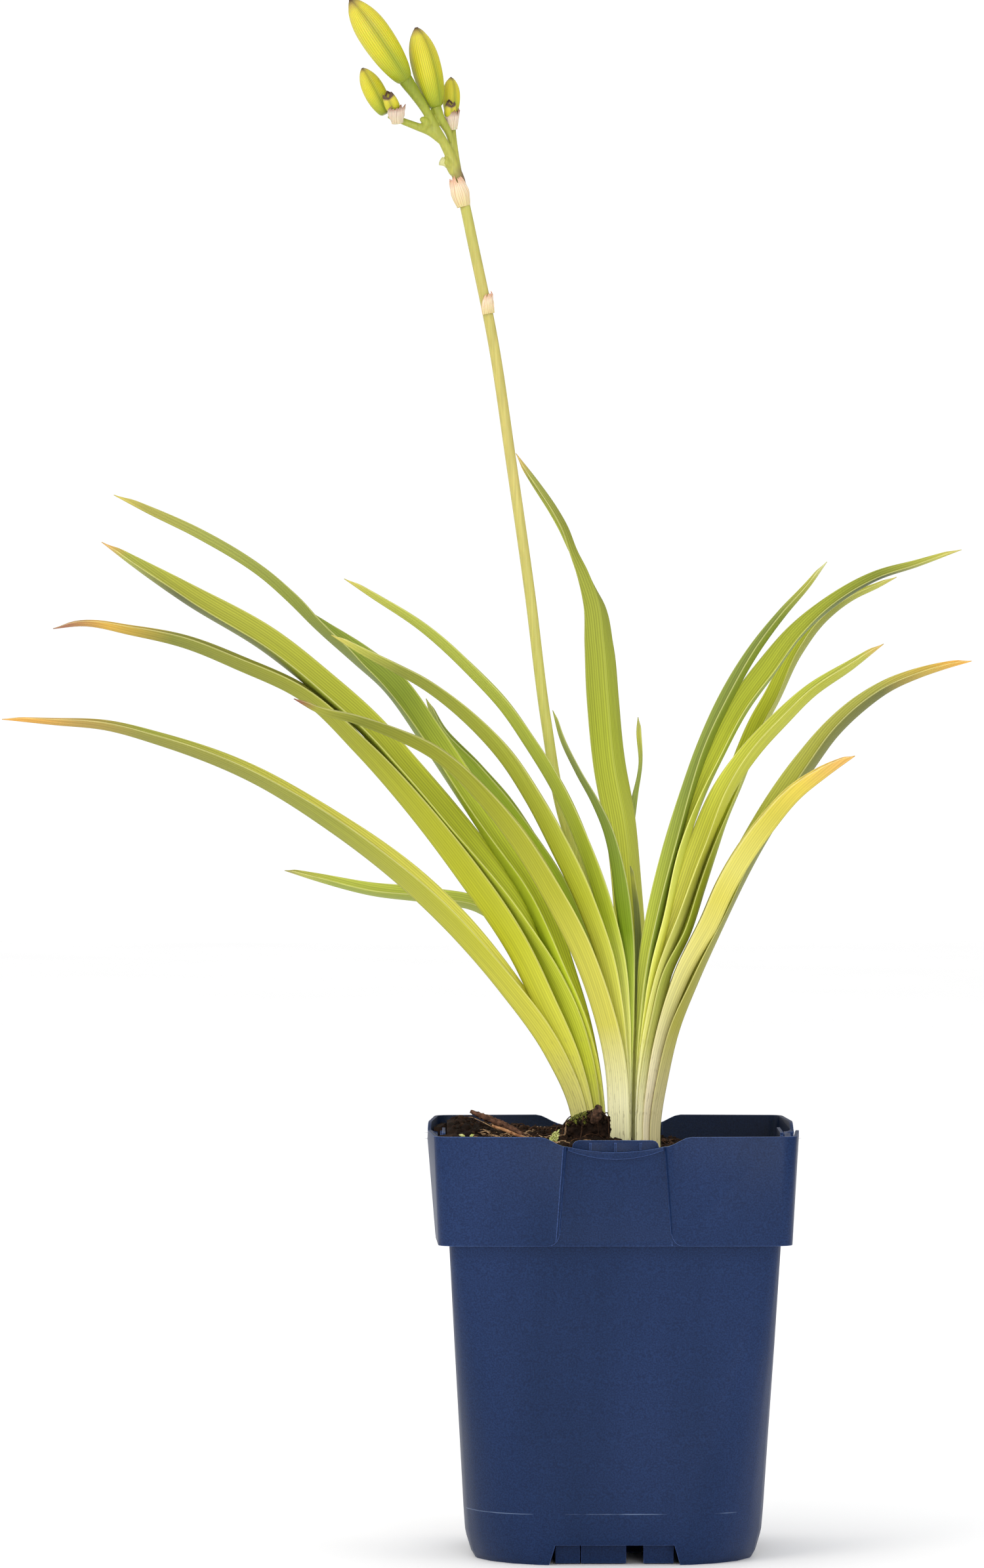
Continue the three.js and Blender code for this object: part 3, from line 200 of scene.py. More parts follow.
soft_light("key_softbox", (-1.2, -1.5, 1.7), (0, 0, 0.25), 0.9, 12, "#fffaf2")
soft_light("front_softbox", (0.5, -2.3, 0.55), (0, 0, 0.25), 0.8, 11, "#ffffff")
soft_light("fill_softbox", (1.4, -1.3, 0.9), (0, 0, 0.25), 1.0, 2, "#f6f9ff")
soft_light("back_softbox", (0.3, 1.5, 1.4), (0, 0, 0.3), 1.2, 3, "#ffffff")

world = bpy.data.worlds.new("white_surround")
scene.world = world
world.use_nodes = True
tree = world.node_tree
surround = tree.nodes["Background"]
seen = add(tree, "LightPath")
toward = add(tree, "TexCoord")
split = add(tree, "SeparateXYZ", {"Vector": toward.outputs["Generated"]})
sheen = add(tree, "MapRange",
            {"Value": split.outputs["X"], "From": (-0.9, 0.5), "To": (0.75, 0.16)})
wash = add(tree, "MapRange",
           {"Value": split.outputs["X"], "From": (-1.0, 1.0), "To": (1.24, 0.86)})
lit = add(tree, "MapRange", {"Value": seen.outputs["Is Diffuse Ray"], "To": (1.06, wash)})
glow = add(tree, "MapRange", {"Value": seen.outputs["Is Glossy Ray"], "To": (lit, sheen)})
feed(tree, surround, {"Color": colour("#ffffff"), "Strength": glow})
scene.view_settings.view_transform = "Standard"

FLOOR_HALF = 6000
paper, tree, shader = new_material("white_paper_sweep", Roughness=0.9)
grain = add(tree, "TexNoise", {"Scale": 40.0, "Detail": 2.0})
tint = add(tree, "ValToRGB", {"Fac": grain}, stops=[(0.3, "#fdfdfd"), (0.7, "#ffffff")])
feed(tree, shader, {"Base Color": tint})
corners = [(x * FLOOR_HALF, y * FLOOR_HALF, 0) for x, y in ((-1, -1), (1, -1), (1, 1), (-1, 1))]
floor = mesh_piece("floor", corners, [(0, 1, 2, 3)], paper)
print("floor is", 2 * FLOOR_HALF * MM, "m wide")

# %% [markdown]
# ## The pot
# A nursery pot is thin polypropylene, moulded in one shot. Its mould was lightly etched, so
# the skin has a fine even grain, and the dark navy pigment looks a little milky where the
# light grazes it. The plastic ran upwards in the mould, which left faint upright streaks.
# The solid already has every form of the pot, so its own mesh is copied, its corners are
# rounded by a small bevel, and only the skin is new. The bevels are paler, partly from wear
# by handling and partly as a painted highlight. The walls on the inside, where the surface
# faces the middle of the pot, are darkened as painted shade. A hair-thin line runs round the
# foot where two parts of the mould met.

# %% Moulded polypropylene
MOULD_LINE = 19.1
MOULD_LINE_HALF = 0.16
GRAIN_PITCH = 0.55  # the etched grain is nearer 0.2 mm, drawn coarser so that it shows


def pot_plastic(name, dark, light):
    """Navy plastic in two tones with the grain of an etched mould."""
    made, tree, shader = new_material(name, Roughness=0.4, IOR=1.49, Specular_IOR_Level=0.16)
    place = add(tree, "TexCoord")
    spot = place.outputs["Object"]
    grain = add(tree, "TexNoise", {"Vector": spot, "Scale": 1 / (GRAIN_PITCH * MM), "Detail": 2.0})
    upright = add(tree, "Mapping", {"Vector": spot, "Scale": (26.0, 26.0, 6.0)})
    cloud = add(tree, "TexNoise",
                {"Vector": upright, "Scale": 1.0, "Detail": 3.0, "Roughness": 0.5})
    navy = add(tree, "ValToRGB", {"Fac": cloud}, stops=[(0.3, dark), (0.72, light)])
    speck = add(tree, "ValToRGB", {"Fac": grain}, stops=[(0.35, "#b4b6c2"), (0.65, "#ffffff")])
    grained = add(tree, "Mix",
                  {"Factor": 0.8, 6: navy, 7: speck}, data_type="RGBA", blend_type="MULTIPLY")
    flat = add(tree, "VectorMath", {0: spot, 1: (1.0, 1.0, 0.0)}, operation="MULTIPLY")
    facing = add(tree, "VectorMath",
                 {0: place.outputs["Normal"], 1: flat}, operation="DOT_PRODUCT")
    # painted shade: walls that face the middle of the pot are darkened towards near-black navy
    inward = add(tree, "MapRange", {"Value": facing, "From": (-0.01, -0.035), "To": (0.0, 0.6)})
    painted_inner_shade = add(tree, "Mix", {"Factor": inward, 6: grained, 7: colour("#070d1c")}, data_type="RGBA")
    split = add(tree, "SeparateXYZ", {"Vector": spot})
    band = add(tree, "Math", {0: split.outputs["Z"], 1: MOULD_LINE * MM, 2: MOULD_LINE_HALF * MM},
               operation="COMPARE")
    broken = add(tree, "TexNoise", {"Vector": spot, "Scale": 60.0, "Detail": 2.0})
    worn = add(tree, "MapRange", {"Value": broken, "From": (0.42, 0.65), "To": (0.0, 0.5)})
    line = add(tree, "Math", {0: band, 1: worn}, operation="MULTIPLY")
    lined = add(tree, "Mix", {"Factor": line, 6: painted_inner_shade, 7: colour("#8fa3c4")}, data_type="RGBA")
    rough = add(tree, "MapRange", {"Value": cloud, "To": (0.34, 0.46)})
    bump = add(tree, "Bump", {"Height": grain, "Strength": 0.35, "Distance": 0.00012})
    feed(tree, shader, {"Base Color": lined, "Roughness": rough, "Normal": bump})
    return made


plastic = pot_plastic("moulded_polypropylene", "#12284c", "#1d325b")
# the edge finish is paler navy on the bevels, partly wear and partly a painted highlight
edge_wear_and_highlight = pot_plastic("polypropylene_edge_wear_and_highlight", "#33497c", "#4c6496")
print("plastic of the walls and of their rubbed edges made")

# %% Pot with rounded edges
# the bevel's paler finish is partly wear and partly a painted highlight
ROUNDING = 0.13  # width of the worn bevel in mm
pot = bpy.data.objects.new("pot_moulding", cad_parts["pot"].data.copy())
scene.collection.objects.link(pot)
pot.data.materials.clear()
pot.data.materials.append(plastic)
pot.data.materials.append(edge_wear_and_highlight)
modify(pot, "WELD", merge_threshold=0.00001)
modify(pot, "DECIMATE", decimate_type="DISSOLVE", angle_limit=math.radians(0.5))
modify(pot, "WELD", merge_threshold=2 * ROUNDING * MM)
modify(pot, "BEVEL", width=ROUNDING * MM, segments=2, limit_method="ANGLE",
       angle_limit=math.radians(30), use_clamp_overlap=False, material=1)
work_in(pot)
pot.data.set_sharp_from_angle(angle=math.radians(38))
settle(pot, "pot_plastic", "pot")

# %% [markdown]
# ## The leaves
# A daylily leaf is a long strap folded along its keel, so that its section is a V. Veins run
# from base to tip, side by side. The blade is shiny and almost white at the base. Inside the
# fold it is lighter and outside darker, partly in its own colour and partly by painted light
# and shade, and its thin edge catches the light as a pale line. It could be a flat strip that
# is bent by a modifier, but here each leaf follows a list of points along its keel, because
# then the fold, the twist and the width are set separately for each height. The list is in
# millimetres, the same one that made the solid.

# %% The keel of every leaf: x, y, z, half width, half of the fold angle, roll
# The angles are in degrees. A leaf's first number is 1 where its fold opens to the right and
# -1 where it opens to the left, before the roll turns it.
LEAVES = {
    "left_leaf_1": (1, [
        (-14.6, 7, 139, 5.6, 32, 0), (-15.4, 7, 160, 6.4, 32, 0), (-25, 6.4, 182, 7.8, 33, 0),
        (-42, 3.6, 206, 8.8, 33, -8), (-76, -12, 243, 9.2, 31, -18),
        (-105, -28, 266.5, 7.4, 34, -16), (-134, -41, 285, 6, 36, -14),
        (-167, -54, 298.5, 4.6, 38, -12), (-186, -61, 304, 3.5, 38, -10),
        (-205, -66, 306, 2.2, 38, -8), (-223, -70, 308, 0.6, 40, -6)]),
    "left_leaf_2": (1, [
        (-12.2, 7, 139, 6.2, 32, 0), (-12.9, 7, 158, 6.8, 32, 0), (-18.2, 6.6, 177, 7.8, 33, 3),
        (-29, 5, 200, 8.8, 34, 8), (-38, 3, 218.6, 9.2, 36, 10), (-57, 0, 247, 9.6, 38, 12),
        (-76.5, -4, 273, 9.2, 43, 6), (-96, -8, 295.5, 8.2, 43, 2), (-115, -12, 314, 6.4, 40, -6),
        (-139.5, -15, 326, 5.8, 38, -8), (-159, -18, 334, 4.8, 38, -8),
        (-178.5, -19, 338.7, 3.6, 38, -8), (-196, -20, 342, 2, 38, -8),
        (-207, -20, 341, 0.6, 38, -8)]),
    "left_leaf_3": (1, [
        (-9.8, 7, 139, 6, 32, 0), (-10.6, 7, 160, 7, 32, 0), (-17, 7, 191, 8.4, 34, -6),
        (-25, 6.8, 211, 9.2, 36, -16), (-37, 6, 232, 9.6, 38, -26), (-52, 4.5, 252, 9.8, 38, -30),
        (-66.7, 1.2, 270.3, 9.8, 39, -33), (-81.4, -2, 287.7, 9.6, 39, -36),
        (-92, -4.6, 300.6, 9.2, 40, -38), (-110.7, -8.8, 317.5, 9.2, 40, -38),
        (-129.7, -8.5, 332.6, 9.1, 40, -38), (-159.5, -6, 350.9, 7.2, 40, -36),
        (-179.5, -3, 365.1, 3.4, 40, -34), (-190, -1, 373.3, 0.6, 40, -30)]),
    "left_leaf_4": (1, [
        (-7, 7, 139, 4.2, 32, 0), (-7.4, 7, 160, 5, 32, 0), (-14, 6.5, 192, 6.8, 35, -8),
        (-21.6, 6, 212, 8.2, 37, -20), (-32.5, 4, 239, 9.2, 38, -32),
        (-47.2, 2, 262, 9.3, 39, -38), (-57, 2, 277, 9.3, 40, -39), (-71, 6, 298.2, 9, 40, -40),
        (-86.3, 13, 319.2, 8.8, 42, -38), (-96.2, 18, 328, 8, 42, -30),
        (-111.5, 26, 341.6, 5.6, 46, -10), (-121, 31, 351, 4.4, 48, 20),
        (-130.5, 36, 359.5, 3.8, 44, 30), (-156, 47, 375.5, 3.4, 38, 30),
        (-176, 55, 385.5, 2.4, 38, 25), (-188, 58, 392, 0.6, 38, 20)]),
    "main_left_leaf_1": (1, [
        (-1.4, -4, 139, 8.8, 38, 0), (-1.6, -4, 158, 9.2, 38, 0), (-2.6, -4.5, 177, 9.2, 38, 0),
        (-8.6, -7, 202.7, 9, 37, 0), (-13, -9, 215, 8.8, 36, 0), (-26.4, -16, 242.3, 8.6, 36, 0),
        (-37, -24, 260, 8, 36, 0), (-47.2, -33, 273.7, 7, 36, 0), (-66.7, -53, 293.2, 5.4, 36, 0),
        (-80.8, -68, 300.9, 4.2, 36, 0), (-95, -82, 306.6, 3.2, 36, 0),
        (-109, -93, 311, 2, 36, 0), (-116.5, -99, 315.6, 0.6, 36, 0)]),
    "main_left_leaf_2": (1, [
        (2, -4, 139, 5.2, 38, 0), (1.9, -4, 158, 5.4, 38, 0), (0.8, -4.2, 177, 6, 38, 0),
        (-2.2, -5.5, 200, 7, 38, 0), (-5.9, -7, 218, 7.6, 38, 0), (-13.5, -11, 239, 8.2, 38, 0),
        (-22.8, -17, 258.6, 8.2, 38, 0), (-32.5, -25, 277.4, 7.2, 38, 0),
        (-42.3, -33, 292.6, 6.4, 38, 0), (-52.1, -40, 303.7, 5.6, 38, 0),
        (-71.4, -50, 319.6, 4.4, 38, 0), (-81, -54, 325.1, 3.6, 38, 0),
        (-95.3, -60, 333.1, 2.2, 38, 0), (-103.6, -63, 338.6, 0.6, 38, 0)]),
    "main_left_leaf_3": (1, [
        (3.7, -4, 139, 3.2, 38, 0), (3.6, -4, 158, 3.4, 38, 0), (3.2, -4, 177, 4, 38, 0),
        (2.2, -4.5, 195, 5, 38, 0), (-0.8, -5, 218, 6.4, 38, 0), (-4.9, -5.2, 234, 6.8, 40, 0),
        (-10.8, -7.4, 253.5, 6.4, 42, 0), (-22.5, -12, 280.8, 5.8, 42, 0),
        (-32.5, -16, 297.4, 5.6, 42, 0), (-42.3, -20, 311.6, 5.2, 42, 0),
        (-52.1, -23, 322.3, 4.8, 42, 0), (-71.6, -27, 340.4, 3.8, 42, 0),
        (-91.1, -29, 353.6, 2.2, 42, 0), (-99.4, -30, 359.4, 0.6, 42, 0)]),
    "main_left_leaf_4": (1, [
        (5.4, -4, 139, 1.2, 38, 0), (5.4, -4, 158, 1.4, 38, 0), (5, -4, 177, 2.4, 38, 0),
        (4.2, -4.5, 200, 4.2, 38, 0), (2.6, -5.5, 226.6, 6.2, 38, 0), (0.9, -7, 241, 6.4, 40, 0),
        (-0.8, -9, 254.2, 5.2, 42, 0), (-3.7, -12, 266.4, 4, 42, 0), (-8.1, -16, 276.9, 3, 42, 0),
        (-14.2, -21, 288.2, 2.2, 42, 0), (-20.1, -26, 301.1, 1.6, 42, 0),
        (-22.6, -28, 311, 0.6, 42, 0)]),
    "main_right_leaf_1": (-1, [
        (18.2, -4, 139, 4.2, 38, 0), (18.2, -4, 157.5, 4.4, 38, 0),
        (20.9, -3.4, 173.9, 5, 38, -6), (25.3, -3, 192.2, 5.8, 38, -16),
        (31.9, -1.5, 208.8, 6.4, 38, -30), (40.5, 1.4, 227.6, 7.6, 38, -38),
        (55.6, 6, 257.6, 8.4, 38, -38), (75.7, 11, 288.6, 8, 38, -30),
        (85.3, 12, 301.6, 6.6, 38, -28), (95.1, 13, 310.9, 5.8, 38, -26),
        (105, 14, 318, 4.6, 38, -24), (115, 14, 322.6, 3.6, 38, -22),
        (124.8, 15, 326, 2.4, 38, -20), (135, 15, 329, 0.6, 38, -18)]),
    "main_right_leaf_2": (-1, [
        (15.6, -4, 139, 4, 38, 0), (15.5, -4, 159, 4.4, 38, 0), (17.4, -4.1, 173, 4.8, 38, 0),
        (21, -4.2, 190, 5.4, 37, 0), (28.8, -4.6, 211, 6.6, 35, 0), (39.2, -7, 230.3, 8, 34, 0),
        (45.4, -11, 244, 8.4, 34, 0), (59.6, -22, 266.9, 7.6, 34, 0),
        (68.9, -30, 278.6, 6.4, 34, 0), (78.2, -37, 286.6, 4.4, 34, 0),
        (88.3, -43, 294.3, 0.6, 34, 0)]),
    "main_right_leaf_3": (-1, [
        (13.9, -4, 139, 5.2, 38, 0), (13.9, -4, 158, 5.4, 38, 0), (15.7, -3.7, 177, 6, 38, -6),
        (18.9, -3.2, 196, 6.4, 38, -14), (22.2, -3, 212, 7, 39, -22),
        (29.7, -2.6, 228.6, 7.2, 40, -29), (34.9, -2.6, 244.9, 7.2, 40, -33),
        (38.9, -2.4, 257.4, 7.2, 40, -36), (43.4, 0, 270.6, 7, 42, -40),
        (48.3, 4, 281.9, 6.8, 42, -40), (58.9, 20, 306.1, 6.4, 42, -36),
        (62.6, 25, 312.5, 6.2, 42, -32), (72.6, 42, 331.5, 5.2, 40, -28),
        (83.1, 56, 344.6, 4, 38, -25), (93.6, 66, 352.4, 2.8, 38, -22),
        (103.6, 72, 357.2, 1.6, 38, -20), (110.4, 76, 361, 0.6, 38, -20)]),
    "main_right_leaf_4": (-1, [
        (12.4, -4, 139, 4, 38, 0), (12.4, -4, 158, 4.2, 38, 0), (14, -4, 177, 5.4, 38, -6),
        (16.9, -3.9, 196, 6.4, 38, -14), (21.2, -4, 216, 7.8, 39, -24),
        (27.5, -4, 233.2, 8.4, 40, -30), (35.9, -4.6, 257.6, 8.4, 40, -32),
        (45.4, -9, 280.8, 7.6, 40, -28), (54.8, -15, 295, 6.6, 38, -24),
        (64.4, -21, 305.9, 6, 38, -20), (73.9, -26, 315.8, 4.8, 38, -18),
        (88.4, -32, 326.4, 3.2, 38, -18), (99.2, -36, 335.4, 0.6, 38, -18)]),
    "main_right_leaf_5": (-1, [
        (10.9, -4, 139, 2.4, 38, 0), (10.9, -4, 158, 2.6, 38, 0), (12.4, -4.3, 177, 3.6, 38, -6),
        (14.9, -4.7, 196, 5, 38, -14), (18.3, -5.2, 218.6, 6.8, 40, -24),
        (21.4, -5.6, 233.2, 7.4, 40, -30), (27.8, -5.4, 260, 7.8, 40, -33),
        (35.9, -2, 281.7, 7.8, 42, -36), (40.9, 0, 292, 7.8, 43, -38),
        (50.9, 6, 310.4, 7.8, 44, -40), (61, 12, 324.1, 7.6, 44, -40),
        (71, 18, 337.6, 6, 44, -38), (81, 23, 347, 4.8, 42, -36), (101, 30, 359.6, 3.4, 42, -34),
        (116, 35, 364.6, 2.4, 42, -32), (132.8, 40, 371, 0.6, 42, -30)]),
    "main_right_leaf_6": (-1, [
        (9.4, -4, 139, 0.8, 38, 0), (9.5, -4, 158, 1, 38, 0), (10.8, -4.8, 177, 1.9, 38, -6),
        (12.9, -5.6, 196, 3.6, 38, -14), (15.8, -6.6, 218.6, 5.6, 40, -24),
        (18.7, -7.2, 233.2, 6, 40, -30), (24.4, -7, 257.6, 5.8, 40, -33),
        (31, -4.8, 281.6, 4.8, 40, -33), (35.8, -2, 295, 4.7, 38, -30),
        (45.6, 4, 315.8, 4.8, 38, -28), (55.3, 10, 332.4, 4, 38, -26),
        (65.4, 16, 346, 3, 38, -24), (75.2, 21, 357.6, 1.8, 38, -22),
        (81.3, 24, 366.3, 0.6, 38, -22)]),
    "back_leaf_1": (1, [
        (-9, 15.5, 139, 4, 32, 0), (-10.5, 16, 160, 4.6, 32, 0), (-18, 19, 184, 5.2, 34, -8),
        (-29.5, 26, 209, 5.6, 36, -15), (-38.5, 34, 225.5, 5.4, 38, -22),
        (-49.5, 46, 233.6, 5.4, 38, -28), (-67, 64, 236.7, 5.5, 38, -30),
        (-92, 86, 239.3, 4.6, 38, -30), (-112.5, 102, 244.3, 2.6, 38, -30),
        (-124.3, 110, 247.9, 0.6, 38, -30)]),
    "back_leaf_2": (1, [
        (0.5, 8, 139, 5.6, 36, 0), (0.4, 8, 158, 6, 36, 0), (-1, 8, 177, 6.8, 36, 0),
        (-6.4, 8, 203, 7.4, 37, 0), (-13.4, 8, 221, 7.8, 38, 0), (-23, 9, 243, 8, 38, 0),
        (-33.8, 12, 260, 8, 38, 0), (-43.3, 16, 273.8, 7.6, 38, -5),
        (-53.3, 22, 286.3, 6.6, 38, -8), (-66, 28, 302, 4.6, 38, -10),
        (-69.5, 31, 315, 0.6, 38, -10)]),
    "back_leaf_3": (1, [
        (12, 10.5, 139, 5, 50, 100), (12, 10.5, 158, 5.4, 50, 100), (11, 12, 190, 6.8, 50, 104),
        (9, 15, 225, 7.8, 48, 106), (5.6, 19, 267, 8.3, 48, 108), (1.4, 23, 290, 8.6, 48, 108),
        (-1, 28, 316, 8.5, 48, 108), (-2.5, 33, 336, 7.6, 48, 110),
        (-4.6, 38, 352.7, 5.7, 50, 119), (-8.2, 41, 363, 4.3, 46, 148),
        (-12.2, 44, 371, 3.5, 44, 175), (-15.7, 47, 380, 3.6, 42, 190),
        (-19.6, 50, 387, 3.3, 40, 196), (-27, 54, 397.6, 2.5, 40, 200),
        (-35.2, 58, 408, 0.6, 40, 205)]),
    "back_leaf_4": (1, [
        (14, 19, 139, 2.4, 40, 90), (14, 19, 158, 2.6, 40, 90), (11, 22, 200, 3, 40, 90),
        (7, 26, 248, 3.4, 40, 90), (6.6, 28, 261.5, 3, 40, 90), (8.7, 30, 279.6, 1.6, 40, 60),
        (10.6, 32, 290.1, 1, 40, 30), (9.9, 34, 303.8, 1.4, 40, 0), (10.4, 35, 308, 0.6, 40, 0)]),
    "back_leaf_5": (1, [
        (9, 6.3, 139, 1.6, 38, 0), (9, 6.3, 158, 1.8, 38, 0), (8.8, 6, 200, 2.2, 38, 0),
        (8.2, 4, 236, 2, 38, 0), (6.7, 2, 252.8, 0.6, 38, 0)]),
}
print("leaves to grow:", len(LEAVES))

# %% A smooth curve through the rows of a list
def along_rows(rows, t):
    """All columns of the rows at the shares t of the length of their first three columns."""
    rows = np.asarray(rows, float)
    steps = np.linalg.norm(np.diff(rows[:, :3], axis=0), axis=1)
    at = np.concatenate([[0], np.cumsum(steps)])
    slope = np.diff(rows, axis=0) / steps[:, None]
    share = (steps[:-1] / (steps[:-1] + steps[1:]))[:, None]
    inner = slope[1:] * share + slope[:-1] * (1 - share)
    slope = np.vstack([slope[:1], inner, slope[-1:]])
    s = np.clip(np.asarray(t, float), 0, 1) * at[-1]
    i = np.clip(np.searchsorted(at, s, side="right") - 1, 0, len(steps) - 1)
    span = steps[i][:, None]
    u = ((s - at[i]) / steps[i])[:, None]
    start, rise = rows[i], rows[i + 1] - rows[i]
    a, b = slope[i] * span, slope[i + 1] * span
    return start + u * (a + u * (3 * rise - 2 * a - b + u * (a + b - 2 * rise))), at[-1]


def unit(v):
    return v / np.linalg.norm(v, axis=-1, keepdims=True)


def tangents(rows, t, step=0.004):
    return unit(along_rows(rows, t + step)[0][:, :3] - along_rows(rows, t - step)[0][:, :3])


def square_to(axis):
    """Two unit vectors square to the axis and to each other; the first has no depth."""
    side = unit(np.cross([0, 1, 0], axis))
    return side, np.cross(axis, side)


def ring_faces(rows, count):
    """Faces between each ring of count points and the next."""
    return [(i * count + j, i * count + k, (i + 1) * count + k, (i + 1) * count + j)
            for i in range(rows) for j, k in zip(range(count), [*range(1, count), 0])]

# %% A folded blade
BLADE_THICK = 0.65
BLADE_STEPS = 150
BLADE_COLUMNS = 9
TIP_SHARE = 0.022  # the last part of the length, over which the blade comes to its point
LONGEST_MITRE = 2.2
BELLY = 0.04  # how far a half blade bows out, as a share of its width
VEIN_PITCH = 0.9  # from one strong vein to the next; the fine ones between are left out


def blade(side, rows, seed):
    """A closed folded blade with its outer and inner skins, and the numbers its finish reads."""
    t = np.linspace(0, 1, BLADE_STEPS + 1)
    now, length = along_rows(rows, t)
    across, back = square_to(tangents(rows, t))
    across = across * side
    point = np.clip((1 - t) / TIP_SHARE, 0.1, 1)[:, None] ** 0.6
    keel, width, thin = now[:, :3], now[:, 3:4] * point, BLADE_THICK * point
    fold, roll = np.radians(now[:, 4:5]), np.radians(now[:, 5:6])

    def way(angle):
        return across * np.cos(angle) + back * np.sin(angle)

    inner = keel + way(roll) * thin * np.minimum(1 / np.sin(fold), LONGEST_MITRE)
    phase = np.random.default_rng(seed).uniform(0, 2 * math.pi, 4)
    halves = []
    for hand, wave in ((-1, phase[:2]), (1, phase[2:])):
        out = way(roll + hand * (fold + math.pi / 2))
        edge_in = inner + way(roll + hand * fold) * (width - thin / 2)
        edge_out = edge_in + out * thin
        ripple = 0.22 * np.sin(t * length / 9 + wave[0]) + 0.16 * np.sin(t * length / 23 + wave[1])
        ripple = (ripple * np.minimum(width[:, 0] / 6, 1) * np.clip(t * 6 - 1, 0, 1))[:, None]
        columns = []
        for v in np.linspace(0, 1, BLADE_COLUMNS + 1):
            skin_out = keel + (edge_out - keel) * v
            skin_in = inner + (edge_in - inner) * v
            middle = (skin_out + skin_in) / 2
            middle = middle + out * (BELLY * width * math.sin(math.pi * v) + ripple * v * v)
            thick = (skin_out - skin_in) / 2 * (1 - 0.5 * v**2)
            columns.append((hand * v, middle + thick, middle - thick))
        halves.append(columns)
    near, far = halves
    order = [(c[0], c[1], 0) for c in near[:0:-1]] + [(0, near[0][1], 0)]
    order += [(c[0], c[1], 0) for c in far[1:]] + [(c[0], c[2], 1) for c in far[:0:-1]]
    order += [(0, near[0][2], 1)] + [(c[0], c[2], 1) for c in near[1:]]
    values = {
        "along": [t for _ in order],
        "across": [np.full_like(t, place) for place, _, _ in order],
        "vein": [place * now[:, 3] / VEIN_PITCH for place, _, _ in order],
        "inner": [np.full_like(t, inside) for _, _, inside in order],
        "length_mm": [t * length for _ in order],
    }
    values = {k: np.stack(v, 1).ravel() for k, v in values.items()}
    count = len(order)
    points = np.stack([skin for _, skin, _ in order], 1).reshape(-1, 3)
    faces = ring_faces(BLADE_STEPS, count)
    last = BLADE_STEPS * count
    for j in range(count // 2 - 1):
        far_side = count - 1 - j
        faces.append((j, far_side, far_side - 1, j + 1)[::-1])
        faces.append((last + j, last + far_side, last + far_side - 1, last + j + 1))
    return points, faces, values

# %% [markdown]
# ## The leaf's skin
# The skin is living tissue: green in the cells, paler over the veins, where there is more
# air. Wax on it gives a satin gloss. So the finish has vein lines that are paler and
# slightly raised, faint long streaks, a thin pale margin, and small brown marks of age near
# the soil. Colour changes from base to tip: cream in the soil's shade, then green, and
# orange or brown where the tip has dried. No light is sent through the blades; the light
# that would shine through them is painted into the bright colours of the crowded leaves.

# %% Leaf skin
ONE_LINE = 2 * math.pi / 20  # the scale at which a wave texture draws one line to the unit


def leaf_skin(name, look, length):
    """A leaf's finish from its colours and its length in millimetres."""
    made, tree, shader = new_material(name, IOR=1.42, Specular_IOR_Level=0.25)
    read = {k: add(tree, "Attribute", attribute_name=k).outputs["Fac"]
            for k in ("along", "across", "vein", "inner", "length_mm")}
    cream, low, tip = look["cream"] / length, look["low_end"] / length, look["tip_start"]
    outer, inner = (
        add(tree, "ValToRGB", {"Fac": read["along"]}, stops=[
            (cream * 0.55, look["base"]), (max(cream, low * 0.5), look["low"]), (low, first),
            (0.58, middle), (tip - 0.08, high), (tip, look["tip"]),
            (tip + (1 - tip) * 0.75, look["end"])])
        for first, middle, high in (look["outer"], look["inner"]))
    skin = add(tree, "Mix", {"Factor": read["inner"], 6: outer, 7: inner}, data_type="RGBA")
    grid = add(tree, "CombineXYZ", {"X": read["vein"], "Y": read["length_mm"]})
    stretch = add(tree, "Mapping", {"Vector": grid, "Scale": (1.0, 0.004, 1.0)})
    lines = add(tree, "TexWave",
                {"Vector": stretch, "Scale": ONE_LINE, "Distortion": 0.6, "Detail": 1.0})
    depth = add(tree, "MapRange", {"Value": read["inner"], "To": (look["vein"], 0.8)})
    pale = add(tree, "MapRange", {"Value": lines.outputs["Fac"], "To": (depth, 1.06)})
    streak_at = add(tree, "Mapping", {"Vector": grid, "Scale": (0.9, 0.02, 1.0)})
    streak = add(tree, "TexNoise", {"Vector": streak_at, "Scale": 1.0, "Detail": 4.0})
    faint = add(tree, "MapRange", {"Value": streak, "From": (0.3, 0.7), "To": (0.88, 1.08)})
    both = add(tree, "Math", {0: pale, 1: faint}, operation="MULTIPLY")
    veined = add(tree, "VectorMath", {0: skin, "Scale": both}, operation="SCALE")
    beside = add(tree, "Math", {0: read["across"]}, operation="ABSOLUTE")
    rim = add(tree, "MapRange", {"Value": beside, "From": (0.93, 0.99), "To": (0.0, 0.38)})
    edged = add(tree, "Mix", {"Factor": rim, 6: veined, 7: colour(look["edge"])}, data_type="RGBA")
    spine = add(tree, "MapRange", {"Value": beside, "From": (0.02, 0.08), "To": (0.2, 0.0)})
    keeled = add(tree, "Mix", {"Factor": spine, 6: edged, 7: colour("#c9cf6a")}, data_type="RGBA")
    spot_at = add(tree, "Mapping", {"Vector": grid, "Scale": (1.1, 0.3, 1.0)})
    spots = add(tree, "TexNoise", {"Vector": spot_at, "Scale": 1.0, "Detail": 3.0})
    near_soil = add(tree, "MapRange",
                    {"Value": read["length_mm"], "From": (16.0, 62.0), "To": (0.5, 0.0)})
    marks = add(tree, "MapRange", {"Value": spots, "From": (0.57, 0.7), "To": (0.0, near_soil)})
    marked = add(tree, "Mix", {"Factor": marks, 6: keeled, 7: colour("#84744c")}, data_type="RGBA")
    rough = add(tree, "MapRange", {"Value": streak, "To": (0.42, 0.6)})
    bump = add(tree, "Bump",
               {"Height": lines.outputs["Fac"], "Strength": 0.3, "Distance": 0.00004})
    feed(tree, shader, {"Base Color": marked, "Roughness": rough, "Normal": bump})
    return made
